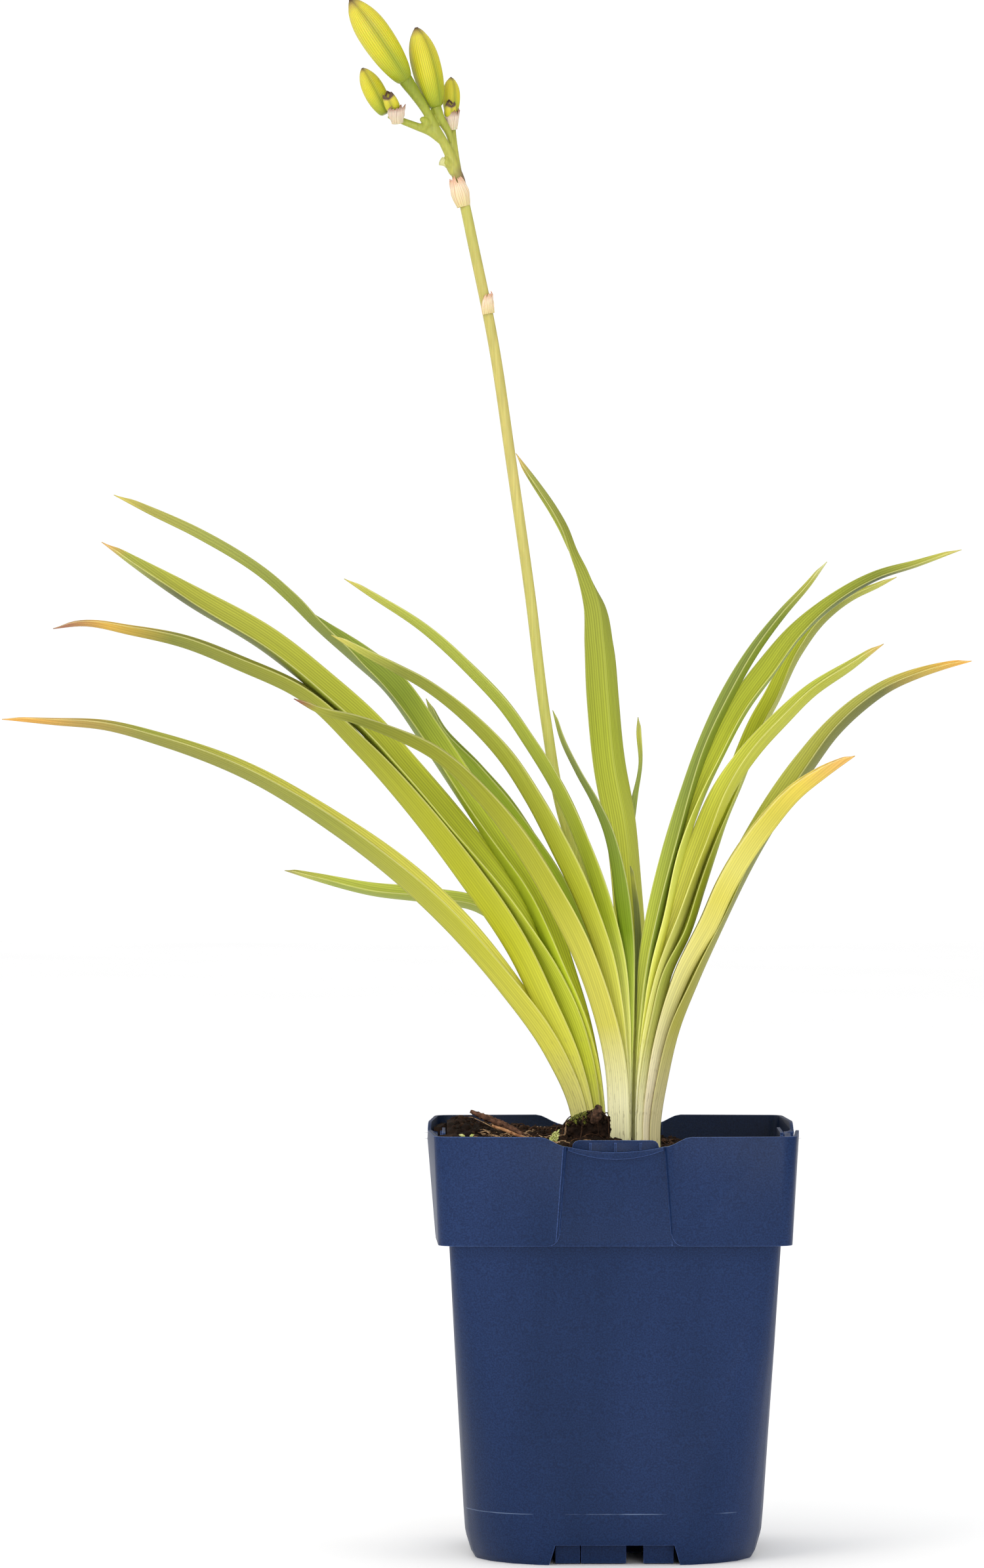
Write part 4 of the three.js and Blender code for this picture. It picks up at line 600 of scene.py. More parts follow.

# %% Each leaf's colours, with painted light and shade
# The outer and the inner face have three colours each: above the base, half way and near the
# tip. Base, low, tip and end are the colours of those parts, and edge is that of the margin.
# The base's colour reaches up to about cream and the low one to low_end, both in mm. The
# tip's starts at tip_start, a share of the length. Vein is how bright the outer face is
# between its veins, where 1 is no darker. A leaf names only what isn't plain. Many colours
# carry painted light and shade besides the leaf's own: the darker outer colours are partly
# painted shade of the half of the fold that faces away from the light, and the near-white
# bases and bright low colours of leaves deep in the fan are partly painted light where the
# fan shades them.
PLAIN = dict(
    outer=("#9aa64a", "#929e46", "#8c984a"), inner=("#a8b64a", "#a0ae46", "#98a648"),
    base="#dcdda2", low="#dcdb66", tip="#b4b450", end="#c4b95c", edge="#dfdb96", cream=34,
    low_end=80, tip_start=0.96, vein=0.9)
LOOKS = {
    "left_leaf_1": dict(
        outer=("#bdbc3b", "#95983f", "#908d42"), inner=("#e2de60", "#cbc652", "#9a9d42"),
        base="#d0ca88", low="#dad554", tip="#b09450", end="#dca44e", cream=22, low_end=95,
        tip_start=0.91),
    "left_leaf_2": dict(
        outer=("#bdbf30", "#9ea032", "#82853a"), inner=("#cdd23c", "#a8aa3c", "#807f38"),
        base="#d0ca84", low="#dbda50", tip="#cfa648", end="#a06f58", cream=20, low_end=90,
        tip_start=0.935),
    # painted shade: the dark outer colour near the tip is the shaded half of the fold
    "left_leaf_3": dict(
        outer=("#c4ce3e", "#a8b33a", "#5e642a"), inner=("#d4dc36", "#afb433", "#a8a940"),
        base="#b4b064", low="#ccd33e", tip="#a9ac4c", end="#d6a862", cream=16, tip_start=0.965,
        vein=0.84),
    # painted light: the bright first inner colour and low colour offset the fan's shade
    "left_leaf_4": dict(
        outer=("#c6d532", "#6c7c24", "#969a4a"), inner=("#f4fc54", "#84942a", "#8d9a46"),
        low="#eef05c", tip="#a09a4c", end="#bcae58", cream=12, low_end=70),
    "main_left_leaf_1": dict(
        outer=("#b2b236", "#9ea02e", "#828632"), inner=("#c4c640", "#a8aa3a", "#8f9240"),
        base="#f2eebc", low="#d4cd5a", tip="#9c9c3c", end="#8d5a48", cream=48, low_end=110),
    "main_left_leaf_2": dict(
        outer=("#bbbf39", "#a6ab38", "#888d38"), inner=("#c2ca42", "#aab03c", "#989c40"),
        base="#eeeab6", low="#dad962", cream=44, low_end=105),
    # painted light: whiter base, brighter low colour and lighter outer middle than the leaf's own
    "main_left_leaf_3": dict(
        outer=("#b4c038", "#a2ac3e", "#a9b04a"), inner=("#bcc83e", "#a0ac3c", "#98a546"),
        base="#fcfad2", low="#eeee84", cream=36, low_end=95),
    # painted light: the base is whiter than the leaf's own, against the fan's shade
    "main_left_leaf_4": dict(
        outer=("#7c951f", "#80962a", "#7c864a"), inner=("#96aa34", "#8a9e34", "#84924a"),
        base="#fcfad2", low="#d4e060", tip="#8a9246", end="#949a4a", cream=36, low_end=90),
    "main_right_leaf_1": dict(
        outer=("#808332", "#7a7f2c", "#6c6e36"), inner=("#c4c84c", "#c0c24e", "#abaa50"),
        base="#cac08e", low="#aaa542", tip="#c4a84a", end="#e6ae4c", cream=42, low_end=110,
        tip_start=0.93),
    "main_right_leaf_2": dict(
        outer=("#ddd56a", "#dad05a", "#d0c44c"), inner=("#d4ca58", "#d6cc54", "#cec24a"),
        base="#eee3bc", low="#ded890", tip="#dec850", end="#dcae5c", edge="#ece2a8", cream=60,
        low_end=120, tip_start=0.87),
    # painted light: the outer middle colour is lighter to offset shade
    "main_right_leaf_3": dict(
        outer=("#9cac30", "#b0b448", "#898d2a"), inner=("#c2c838", "#c4c836", "#a2ab2c"),
        base="#efeab8", low="#bdbc62", cream=40, low_end=95),
    # painted light: whiter base and brighter low colour than the leaf's own, against the fan's
    # shade
    "main_right_leaf_4": dict(
        outer=("#b6b852", "#c8cb48", "#acaf3e"), inner=("#ebe870", "#cecf48", "#b3b946"),
        base="#fcfad2", low="#f0ee84", end="#cfae5e", cream=44, low_end=100),
    # painted light in the bright first outer colour, painted shade in the dark outer tip colour
    "main_right_leaf_5": dict(
        outer=("#f2f47a", "#9cac34", "#424e1e"), inner=("#f2f258", "#cbd240", "#8a9236"),
        low="#e0e25c", cream=36, low_end=90),
    # painted light: whiter base and brighter low colour than the leaf's own, against the fan's
    # shade
    "main_right_leaf_6": dict(
        outer=("#889a3a", "#8a993c", "#84933b"), inner=("#c1ca47", "#909e43", "#859243"),
        base="#fcfad2", low="#e4e870", end="#c8c88a", low_end=85),
    "back_leaf_1": dict(
        outer=("#98a234", "#97a22a", "#99a53b"), inner=("#b8c044", "#b8c24c", "#c0c752"),
        end="#9c9550", cream=12, low_end=60),
    "back_leaf_2": dict(
        outer=("#98aa34", "#a0b42e", "#8c9f2a"), inner=("#98aa30", "#8c9e28", "#72861c"),
        tip="#8c9848", end="#9ca052", cream=20, low_end=70),
    # painted light: whiter base and brighter low colour than the leaf's own, against the fan's
    # shade
    "back_leaf_3": dict(
        outer=("#c6c84c", "#a5ae36", "#8e923a"), inner=("#bcc63c", "#b0b83a", "#a4ac44"),
        base="#fcfad2", low="#f4f492", tip="#9ca04c", end="#c9ac5c", cream=30, low_end=90,
        vein=0.78),
    "back_leaf_4": dict(end="#a8a860"),
    "back_leaf_5": dict(outer=("#848c50", "#828a4e", "#848a50"), end="#929458"),
}
print("leaves with colours:", len(LOOKS))

# %% Grow the leaves
for number, (name, (side, rows)) in enumerate(LEAVES.items()):
    points, faces, values = blade(side, raised(rows), seed=40 + number)
    look = {**PLAIN, **LOOKS[name]}
    skin = leaf_skin("leaf_skin_" + name, look, values["length_mm"].max())
    slot = "leaf_yellow" if name == "main_right_leaf_2" else "leaf"
    settle(mesh_piece(name + "_blade", points, faces, skin, values), slot, name)

# %% [markdown]
# ## The flower stem
# The scape is one smooth round stem that forks near its top. Tubes that only cross would
# show hard seams at the forks, so the tubes of the head are melted together by a voxel
# remesh and smoothed, as the living stem flows from one branch into the next. The long
# plain part below stays a simple tube, because a remesh of all of it would cost far more
# faces and show nothing new.

# %% Tubes along a list of points
def capped(rings, low, high):
    """Points and faces of rings closed at both ends by a fan to the points low and high."""
    rows, count = rings.shape[0] - 1, rings.shape[1]
    points = np.vstack([rings.reshape(-1, 3), low, high])
    faces = ring_faces(rows, count)
    first, last = len(points) - 2, rows * count
    for j in range(count):
        k = (j + 1) % count
        faces += [(first, k, j), (first + 1, last + j, last + k)]
    return points, faces


def tube(rows, steps, sides, swell=0.0):
    """A closed round tube through rows of x, y, z, radius."""
    t = np.linspace(0, 1, steps + 1)
    now = along_rows(rows, t)[0]
    side, back = square_to(tangents(rows, t))
    angle = np.linspace(0, 2 * math.pi, sides, endpoint=False)[None, :, None]
    out = side[:, None] * np.cos(angle) + back[:, None] * np.sin(angle)
    return capped(now[:, None, :3] + (now[:, None, 3:4] + swell) * out, now[0, :3], now[-1, :3])


def joined(parts):
    """Several lists of points and faces as one."""
    faces, start = [], 0
    for some, sheet in parts:
        faces += [tuple(i + start for i in f) for f in sheet]
        start += len(some)
    return np.vstack([some for some, _ in parts]), faces


SCAPE = [
    (6.5, 16.5, 139, 2.3), (5.5, 16, 165, 2.3), (-0.5, 15.5, 202, 2.3),
    (-12.6, 13, 254.5, 2.15), (-18.2, 12, 272, 2.1), (-24.4, 11.5, 306.5, 2),
    (-30.6, 11, 355.3, 2), (-37.6, 10, 404.2, 2), (-44.2, 9, 448.1, 2),
    (-53.1, 8, 491.3, 2), (-57.3, 8, 510.5, 1.9),
]
BRANCHES = [
    [(-56.5, 8, 507, 1.6), (-58.2, 7.8, 512.5, 1.9), (-62.2, 6, 521.4, 1.8),
     (-66, 4, 528.2, 1.6), (-69.9, 2, 535, 1.75), (-73.4, 0, 540.2, 2.2),
     (-76.8, -1.7, 545, 2.7), (-78.4, -2.6, 547.4, 2.7)],
    [(-57.4, 8, 511, 1.6), (-58.4, 9, 517.5, 1.5), (-59.3, 10, 525, 1.4), (-60, 10.7, 533.4, 1.5)],
    [(-58.9, 9.2, 519.5, 1), (-61, 7.6, 526.4, 1.4), (-64, 5.6, 531.4, 1.8),
     (-65.9, 4.7, 536.4, 2.1), (-66.4, 4.5, 538.4, 2)],
    [(-63.4, 5.2, 522.6, 1.3), (-67.6, 4.2, 526.2, 1.7), (-72.4, 3.2, 528, 1.5),
     (-78.4, 2.2, 530.2, 1.3), (-83.2, 2, 532.2, 1.2)],
    [(-70.4, 3.4, 527, 1.5), (-69.2, 2.2, 529.6, 1.7), (-71.3, 1.4, 531, 0.8)],
    [(-59.6, 7.6, 513, 1.5), (-61.3, 6.2, 514.6, 1.7), (-62.6, 5, 515.8, 1.7)],
]

# %% [markdown]
# The stem's skin is like the leaf's but rounder and waxier, so it keeps a soft highlight all
# the way down. Its green turns yellow where the sun reached it, and near the fork its right
# side is darker brown-purple. Long fine streaks follow the fibres in it.

# %% Stem skin
DARK_PATCH_AT = (-54.5, 8.5, 511.4)


def stem_skin(name, stops, dark_patch):
    """Colour by height in millimetres, long streaks, and a darker brown-purple patch by the fork.
    """
    made, tree, shader = new_material(
        name, Roughness=0.38, IOR=1.42, Specular_IOR_Level=0.42,
        Subsurface_Weight=0.1, Subsurface_Scale=0.0012)
    spot = add(tree, "TexCoord").outputs["Object"]
    split = add(tree, "SeparateXYZ", {"Vector": spot})
    low, high = stops[0][0], stops[-1][0]
    height = add(tree, "MapRange", {"Value": split.outputs["Z"], "From": (low * MM, high * MM)})
    base = add(tree, "ValToRGB", {"Fac": height},
               stops=[((z - low) / (high - low), shade) for z, shade in stops])
    stretch = add(tree, "Mapping", {"Vector": spot, "Scale": (1500.0, 1500.0, 40.0)})
    streak = add(tree, "TexNoise", {"Vector": stretch, "Scale": 1.0, "Detail": 3.0})
    faint = add(tree, "MapRange", {"Value": streak, "From": (0.3, 0.7), "To": (0.86, 1.08)})
    lined = add(tree, "VectorMath", {0: base, "Scale": faint}, operation="SCALE")
    # a darker brown-purple patch on the right of the fork
    away = add(tree, "VectorMath", {0: spot, 1: [c * MM for c in DARK_PATCH_AT]}, operation="DISTANCE")
    near = add(tree, "MapRange", {"Value": away, "From": (2.2 * MM, 6.2 * MM), "To": (dark_patch, 0.0)})
    darkened = add(tree, "Mix", {"Factor": near, 6: lined, 7: colour("#6d5348")}, data_type="RGBA")
    bump = add(tree, "Bump", {"Height": streak, "Strength": 0.3, "Distance": 0.0001})
    feed(tree, shader, {"Base Color": darkened, "Normal": bump})
    return made


scape_skin = stem_skin("scape_skin", [
    (139, "#c3c968"), (230, "#b9be56"), (300, "#b9b75a"), (400, "#beb264"), (470, "#b8ad5e"),
    (500, "#b2ae58"), (520, "#a9a84a"), (534, "#989f3a"), (546, "#7f8c26")], dark_patch=0.9)
print("stem skin has", len(scape_skin.node_tree.nodes), "nodes")

# %% Flower stem with its melted forks
JOIN_Z = 486
lower = [row for row in SCAPE if row[2] < JOIN_Z] + [(-52.8, 8.05, 489.8, 1.98)]
upper = [(-51.6, 8.2, 484, 2)] + [row for row in SCAPE if row[2] > JOIN_Z]
knuckles = [
    [(-58.4, 7.8, 511, 2.1), (-59.6, 7.8, 514, 2.35), (-60.4, 7.4, 517, 2.0)],
    [(-64.2, 4.8, 524, 1.7), (-66.2, 4.4, 526.4, 1.9), (-68, 3.8, 527.6, 1.6)],
    [(-56.2, 7.8, 504, 2.0), (-56.8, 7.8, 507.5, 2.35), (-57.8, 7.8, 511, 2.1)],
]
tubes = [tube(raised(upper), 24, 24)]
tubes += [tube(raised(rows), 24, 20) for rows in BRANCHES + knuckles]
head = mesh_piece("scape_head", *joined(tubes), scape_skin)
modify(head, "REMESH", mode="VOXEL", voxel_size=0.34 * MM)
modify(head, "SMOOTH", factor=0.5, iterations=4)
work_in(head)
settle(head, "scape", "scape")
stem = mesh_piece("scape_stem", *tube(raised(lower), 120, 24, swell=-0.01), scape_skin)
settle(stem, "scape", "scape")

# %% Cut stub
# A branch was cut off below the fork, and its dry pith shows as a cream disc.
pith, tree, shader = new_material("dry_pith", Roughness=0.7, IOR=1.4, Specular_IOR_Level=0.25)
speck = add(tree, "TexNoise", {"Scale": 900.0, "Detail": 3.0})
tint = add(tree, "ValToRGB", {"Fac": speck}, stops=[(0.35, "#b9b874"), (0.65, "#dcd8a0")])
feed(tree, shader, {"Base Color": tint})
stub = raised([(-61, 6.3, 514.2, 1.3), (-62.9, 5.3, 515, 1.45), (-63.6, 5, 515.3, 1.7)])
settle(mesh_piece("scape_stub", *tube(stub, 8, 24), pith), "scape", "scape")

# %% [markdown]
# ## The buds
# A closed bud is three broad sepals that meet along shallow seams and hide the petals. Each
# sepal has many fine veins, is most yellow along its middle and greener at its edges and
# base. At the tip the sepals end in small brownish beaks. The form is a turned shape whose
# section has three lobes and whose grooves lie at the seams, so it is written as a formula
# of height and angle rather than sculpted.

# %% Bud skin
def bud_skin(name, tip_shade, base_shade, tip_start):
    """Yellow along each sepal's middle, greener at its sides, with fine veins."""
    made, tree, shader = new_material(
        name, Roughness=0.36, IOR=1.42, Specular_IOR_Level=0.45,
        Subsurface_Weight=0.16, Subsurface_Scale=0.0015)
    read = {k: add(tree, "Attribute", attribute_name=k).outputs["Fac"]
            for k in ("along", "sepal", "vein")}
    middle, side = (
        add(tree, "ValToRGB", {"Fac": read["along"]}, stops=[
            (0.0, base_shade), (first, low), (half, belly), (tip_start - 0.06, high),
            (tip_start, beak), (min(tip_start + 0.04, 1.0), tip_shade)])
        for first, low, half, belly, high, beak in (
            (0.14, "#a5ab20", 0.42, "#c6bf26", "#d0c43a", "#b39f48"),
            (0.2, "#8a9722", 0.5, "#9c9e26", "#a49a35", "#8a7a40")))
    both = add(tree, "Mix", {"Factor": read["sepal"], 6: side, 7: middle}, data_type="RGBA")
    at = add(tree, "CombineXYZ", {"X": read["vein"], "Y": read["along"]})
    lines = add(tree, "TexWave",
                {"Vector": at, "Scale": ONE_LINE, "Distortion": 1.2, "Detail": 1.0})
    pale = add(tree, "MapRange", {"Value": lines.outputs["Fac"], "To": (0.8, 1.1)})
    veined = add(tree, "VectorMath", {0: both, "Scale": pale}, operation="SCALE")
    bump = add(tree, "Bump",
               {"Height": lines.outputs["Fac"], "Strength": 0.55, "Distance": 0.00014})
    feed(tree, shader, {"Base Color": veined, "Normal": bump})
    return made


green_bud = bud_skin("bud_skin", "#5f4a34", "#86931e", 0.95)
young_bud = bud_skin("young_bud_skin", "#5d4636", "#b0b040", 0.84)
print("a bud's skin has", len(green_bud.node_tree.nodes), "nodes")

# %% Bud forms
GROOVE, GROOVE_HALF = 0.05, 0.09  # depth of a seam as a share of the radius, and its half width
LOBE = 0.045  # how far the sepals stand out between the seams
BUDS = {
    # base, tip, radius, belly, turn of the seams in degrees, height of the crown's teeth, skin
    "bud_a": ((-77, -1.8, 545), (-97.3, -12, 574.2), 6.1, 0.52, 220, 0, green_bud),
    "bud_b": ((-65.6, 4.8, 535.4), (-73, 2, 564.8), 5.5, 0.5, 250, 0, green_bud),
    "bud_c": ((-84.2, 2.4, 532.8), (-93, 4.2, 549.8), 4.1, 0.45, 220, 0, green_bud),
    "bud_d": ((-60, 10.8, 532), (-60, 11.2, 547), 3.3, 0.5, 240, 0, green_bud),
    "budlet_c": ((-80.6, -0.8, 533), (-83.4, -3.4, 539.4), 2.7, 0.4, 200, 1.1, young_bud),
    "budlet_d": ((-60.4, 8.6, 531.2), (-60.2, 5.8, 537), 2.3, 0.4, 230, 0.9, young_bud),
}


def bud(base, tip, radius, belly, turn, teeth, rows=72, sides=72):
    """Three sepals closed round the petals, as a formula of height and angle.

    A bud with teeth is a young one whose blunt tip is open like a small crown.
    """
    base, tip = raised([base, tip])
    axis = unit(tip - base)
    side, back = square_to(axis)
    t = np.linspace(0, 1, rows + 1)[:, None]
    angle = np.linspace(0, 2 * math.pi, sides, endpoint=False)[None, :]
    low = 0.4 + 0.6 * np.sin(np.pi / 2 * np.clip(t / belly, 0, 1)) ** 0.6
    fall = np.clip((t - belly) / (1 - belly), 0, 1) ** 1.25
    high = np.clip(np.cos(np.pi / 2 * fall * (0.62 if teeth else 1)), 0, 1) ** 0.64
    size = np.maximum(radius * np.where(t < belly, low, high), radius * 0.1)
    seam = np.abs(((angle - math.radians(turn)) * 3 / (2 * math.pi) + 0.5) % 1 - 0.5) * 2
    body = np.clip(t * 8, 0, 1) * np.clip((1.02 - t) * 12, 0, 1)
    groove = np.exp(-((1 - seam) / GROOVE_HALF) ** 2) * GROOVE * body
    lobes = LOBE * np.cos(math.pi * seam) * body
    beak = np.clip((t - 0.9) * 10, 0, 1) * 0.35 * (np.cos(math.pi * seam) - 0.4)
    shape = size * (1 + lobes - groove + beak * (0 if teeth else 0.6))
    lift = teeth * np.clip((t - 0.6) / 0.4, 0, 1) ** 2 * (1 - 1.6 * seam)
    out = side * np.cos(angle)[..., None] + back * np.sin(angle)[..., None]
    rings = (base + (tip - base) * t[..., None] + axis * lift[..., None]
             + shape[..., None] * out)
    wide = np.broadcast_to(seam, (rows + 1, sides))
    values = {
        "along": np.append(np.repeat(t[:, 0], sides), [0, 0.6 if teeth else 1]),
        "sepal": np.append(np.clip(1.15 - 1.15 * wide ** 3, 0, 1).ravel(), [0, 0]),
        "vein": np.append((wide * 7).ravel(), [0, 0]),
    }
    return *capped(rings, base, tip - axis * teeth * 1.6), values


for name, (*form, skin) in BUDS.items():
    points, faces, values = bud(*form)
    settle(mesh_piece(name + "_sepals", points, faces, skin, values), "bud", name)

# %% [markdown]
# ## The bracts
# Under each branch sits a dry scale, thin as tissue paper, peach and cream with brown veins,
# whose rim is torn. It is a sheet wrapped part of the way round the stem. A little noise
# crumples it and frays the rim, because no two are alike.

# %% Papery bract skin
def bract_skin(name, low, high, rim, veins):
    """Dry tissue in three tones from foot to rim, with wandering brown veins."""
    made, tree, shader = new_material(
        name, Roughness=0.7, IOR=1.4, Specular_IOR_Level=0.25,
        Subsurface_Weight=0.25, Subsurface_Scale=0.001)
    read = {k: add(tree, "Attribute", attribute_name=k).outputs["Fac"]
            for k in ("along", "vein")}
    body = add(tree, "ValToRGB", {"Fac": read["along"]},
               stops=[(0.0, low), (0.6, high), (0.9, rim)])
    at = add(tree, "CombineXYZ", {"X": read["vein"], "Y": read["along"]})
    lines = add(tree, "TexWave",
                {"Vector": at, "Scale": ONE_LINE, "Distortion": 9.0, "Detail": 4.0})
    thin = add(tree, "MapRange",
               {"Value": lines.outputs["Fac"], "From": (0.0, 0.35), "To": (0.45, 0.0)})
    veined = add(tree, "Mix", {"Factor": thin, 6: body, 7: colour(veins)}, data_type="RGBA")
    bump = add(tree, "Bump", {"Height": lines.outputs["Fac"], "Strength": 0.5, "Distance": 0.0001})
    feed(tree, shader, {"Base Color": veined, "Normal": bump})
    return made


peach = bract_skin("dry_bract_peach", "#d2c48a", "#e4d0b2", "#cfa184", "#a9644c")
pale = bract_skin("dry_bract_pale", "#cfc3a0", "#d9c6b4", "#8c6650", "#8e6a58")
print("a bract's skin has", len(pale.node_tree.nodes), "nodes")

# %% Bracts
BRACTS = {
    # from, to, radius, bulge, flare, facing, span, skin
    "bract_main": ((-55.2, 8, 498.6), (-58.4, 7.4, 510.6), 2.0, 1.0, -0.2, -105, 230, peach),
    "bract_scape": ((-46.4, 8.9, 458.6), (-47.9, 8.7, 466.6), 2.35, 0.3, 0.5, -30, 200, peach),
    "bract_c": ((-79.8, 0.8, 529.2), (-80.8, -1.4, 536.4), 1.7, 0.5, 2.1, -60, 260, pale),
    "bract_d": ((-59.7, 9.8, 527.4), (-60.2, 8.4, 535.2), 1.7, 0.4, 1.5, -40, 250, pale),
}


def bract(start, end, radius, bulge, flare, facing, span, seed, rows=36, columns=64):
    """A thin crumpled sheet round a line, frayed at its far rim, closed to a solid."""
    start, end = raised([start, end])
    side, back = square_to(unit(end - start))
    noise.seed_set(seed)
    outer, inner, along, vein = [], [], [], []
    for i in range(rows + 1):
        for j in range(columns + 1):
            share = j / columns
            fray = 0.86 + 0.14 * noise.noise(Vector((share * 9, seed, 0))) * 2
            t = i / rows * min(fray, 1.0)
            width = math.radians(span) * (1 - 0.62 * t * t)
            angle = math.radians(facing) + width * (share - 0.5)
            crumple = 0.22 * noise.noise(Vector((share * 7, t * 4, seed + 5)))
            size = radius + flare * t * t + bulge * math.sin(math.pi * t) + crumple
            out = side * math.cos(angle) + back * math.sin(angle)
            centre = start + (end - start) * t
            outer.append(centre + out * (size + 0.5))
            inner.append(centre + out * (size + 0.22))
            along.append(t)
            vein.append(share * span / 16)
    shift, wide = len(outer), columns + 1
    faces = []
    for i in range(rows):
        for j in range(columns):
            a = i * wide + j
            faces.append((a, a + 1, a + wide + 1, a + wide))
            faces.append((shift + a, shift + a + wide, shift + a + wide + 1, shift + a + 1))
    rims = [((j + 1, j), (rows * wide + j, rows * wide + j + 1)) for j in range(columns)]
    rims += [((i * wide, (i + 1) * wide), ((i + 1) * wide + columns, i * wide + columns))
             for i in range(rows)]
    faces += [(a, b, b + shift, a + shift) for pair in rims for a, b in pair]
    return np.array(outer + inner), faces, {"along": along * 2, "vein": vein * 2}


for seed, (name, (*form, skin)) in enumerate(BRACTS.items()):
    points, faces, values = bract(*form, seed=seed + 3)
    settle(mesh_piece(name + "_scale", points, faces, skin, values), "bract", name)

# %% [markdown]
# ## The soil
# Potting compost is dark, damp and crumbly: fine peat, bits of bark, roots and fibres. Its
# surface is one closed skin shaped by noise of three sizes, from heaps down to grains. On
# it lie loose crumbs of many sizes, because a skin alone looks like melted plastic. All of
# it is cast from a fixed seed, so it comes out the same each time.

# %% Damp compost
compost, tree, shader = new_material(
    "damp_peat_compost", Roughness=0.88, IOR=1.4, Specular_IOR_Level=0.2)
place = add(tree, "TexCoord")
shade = add(tree, "Attribute", attribute_name="shade")
patch = add(tree, "TexNoise",
            {"Vector": place.outputs["Object"], "Scale": 420.0, "Detail": 5.0, "Roughness": 0.7})
mixed = add(tree, "Math", {0: shade.outputs["Fac"], 1: patch}, operation="ADD")
half = add(tree, "Math", {0: mixed, 1: 0.5}, operation="MULTIPLY")
brown = add(tree, "ValToRGB", {"Fac": half}, stops=[
    (0.2, "#0d0705"), (0.45, "#1d120b"), (0.62, "#322014"), (0.8, "#584028")])
bump = add(tree, "Bump", {"Height": patch, "Strength": 0.8, "Distance": 0.0005})
feed(tree, shader, {"Base Color": brown, "Normal": bump})
print("compost has", len(tree.nodes), "nodes")

# %% Soil surface
SOIL_CELLS = 190
SOIL_LEVEL = 151.1
SOIL_SLOPE = (-0.05, 0.012)
SINK = 2.2  # how far the soil has sunk on the right
HEAPS = [
    # x, y, rise, wide, deep
    (-14, -52, 3.4, 12, 13), (-10, -24, 4.5, 13, 16), (-57, 6, 6, 9, 22), (-30, 18, 2.6, 20, 16),
]
BODY_INSIDE = [
    # height, half width, corner radius inside the pot's wall
    (9.5, 52.8, 31), (19, 53.7, 28), (45, 55, 22), (80, 57, 12), (119.3, 59, 4),
]
COLLAR_INSIDE = 64.3
COLLAR_CORNER = 3.9
COLLAR_FLOOR = 120.2
COLLAR_STEPS = [
    # along a side from its middle, how far out the soil reaches there
    (0, 61.5), (16.3, 61.5), (16.7, 64.2), (19.6, 64.2), (21.2, 66.5), (60, 64.4), (70, 64.3),
]
SOIL_HALF = 64
noise.seed_set(5)


def soil_height(x, y):
    height = SOIL_LEVEL + SOIL_SLOPE[0] * x + SOIL_SLOPE[1] * y
    height -= SINK * min(max((x - 6) / 22, 0), 1)
    for cx, cy, rise, wide, deep in HEAPS:
        height += rise * math.exp(-(((x - cx) / wide) ** 2) - ((y - cy) / deep) ** 2)
    return height


def grains(x, y, z=0.0):
    """Crumbly noise of three sizes, in millimetres."""
    big = noise.fractal(Vector((x, y, z)) / 11, 1.0, 2.0, 3)
    small = noise.fractal(Vector((x, y, z + 50)) / 3.1, 0.9, 2.1, 4)
    return 1.1 * big + 0.75 * small


def collar_reach(c):
    """How far the soil reaches to a side of the collar, at c along that side."""
    return float(np.interp(abs(c), *zip(*COLLAR_STEPS)))


def rounded(x, y, half, radius):
    """Pulls a point in the corner of a square onto the corner's arc."""
    over = Vector((abs(x) - half + radius, abs(y) - half + radius))
    if min(over) > 0 and over.length > radius:
        over = over * (radius / over.length)
        x = math.copysign(half - radius + over.x, x)
        y = math.copysign(half - radius + over.y, y)
    return x, y


def soil_skin():
    """The soil as one closed skin: its surface, and its sides down inside the pot."""
    points, shades, faces = [], [], []
    row = SOIL_CELLS + 1
    for i in range(row):
        for j in range(row):
            u, v = 2 * i / SOIL_CELLS - 1, 2 * j / SOIL_CELLS - 1
            x, y = (
                a * (SOIL_HALF + (collar_reach(SOIL_HALF * b) - SOIL_HALF) * abs(a) ** 8)
                for a, b in ((u, v), (v, u)))
            x, y = rounded(x, y, COLLAR_INSIDE, COLLAR_CORNER)
            points.append((x, y, soil_height(x, y) + grains(x, y)))
            shades.append(0.5 + 0.35 * noise.noise(Vector((x, y, 9)) / 4))
    for i in range(SOIL_CELLS):
        for j in range(SOIL_CELLS):
            a = i * row + j
            faces.append((a, a + row, a + row + 1, a + 1))
    last = SOIL_CELLS
    loop = [(i, 0) for i in range(last)] + [(last, j) for j in range(last)]
    loop += [(i, last) for i in range(last, 0, -1)] + [(0, j) for j in range(last, 0, -1)]
    above = [i * row + j for i, j in loop]
    for z, half, radius in [(COLLAR_FLOOR, None, None)] + BODY_INSIDE[::-1]:
        ring = []
        for top, (i, j) in zip(above, loop):
            if half is None:
                x, y = (0.96 * c for c in points[i * row + j][:2])
            else:
                x, y = (half * (2 * n / last - 1) for n in (i, j))
                x, y = rounded(x, y, half, radius)
            ring.append(len(points))
            points.append((x, y, z))
            shades.append(0.4)
        for k in range(len(loop)):
            n = (k + 1) % len(loop)
            faces.append((above[n], above[k], ring[k], ring[n]))
        above = ring
    points.append((0, 0, BODY_INSIDE[0][0]))
    shades.append(0.4)
    for k in range(len(loop)):
        faces.append((above[(k + 1) % len(loop)], above[k], len(points) - 1))
    return points, faces, {"shade": shades}


points, faces, values = soil_skin()
settle(mesh_piece("compost", points, faces, compost, values), "compost", "soil")

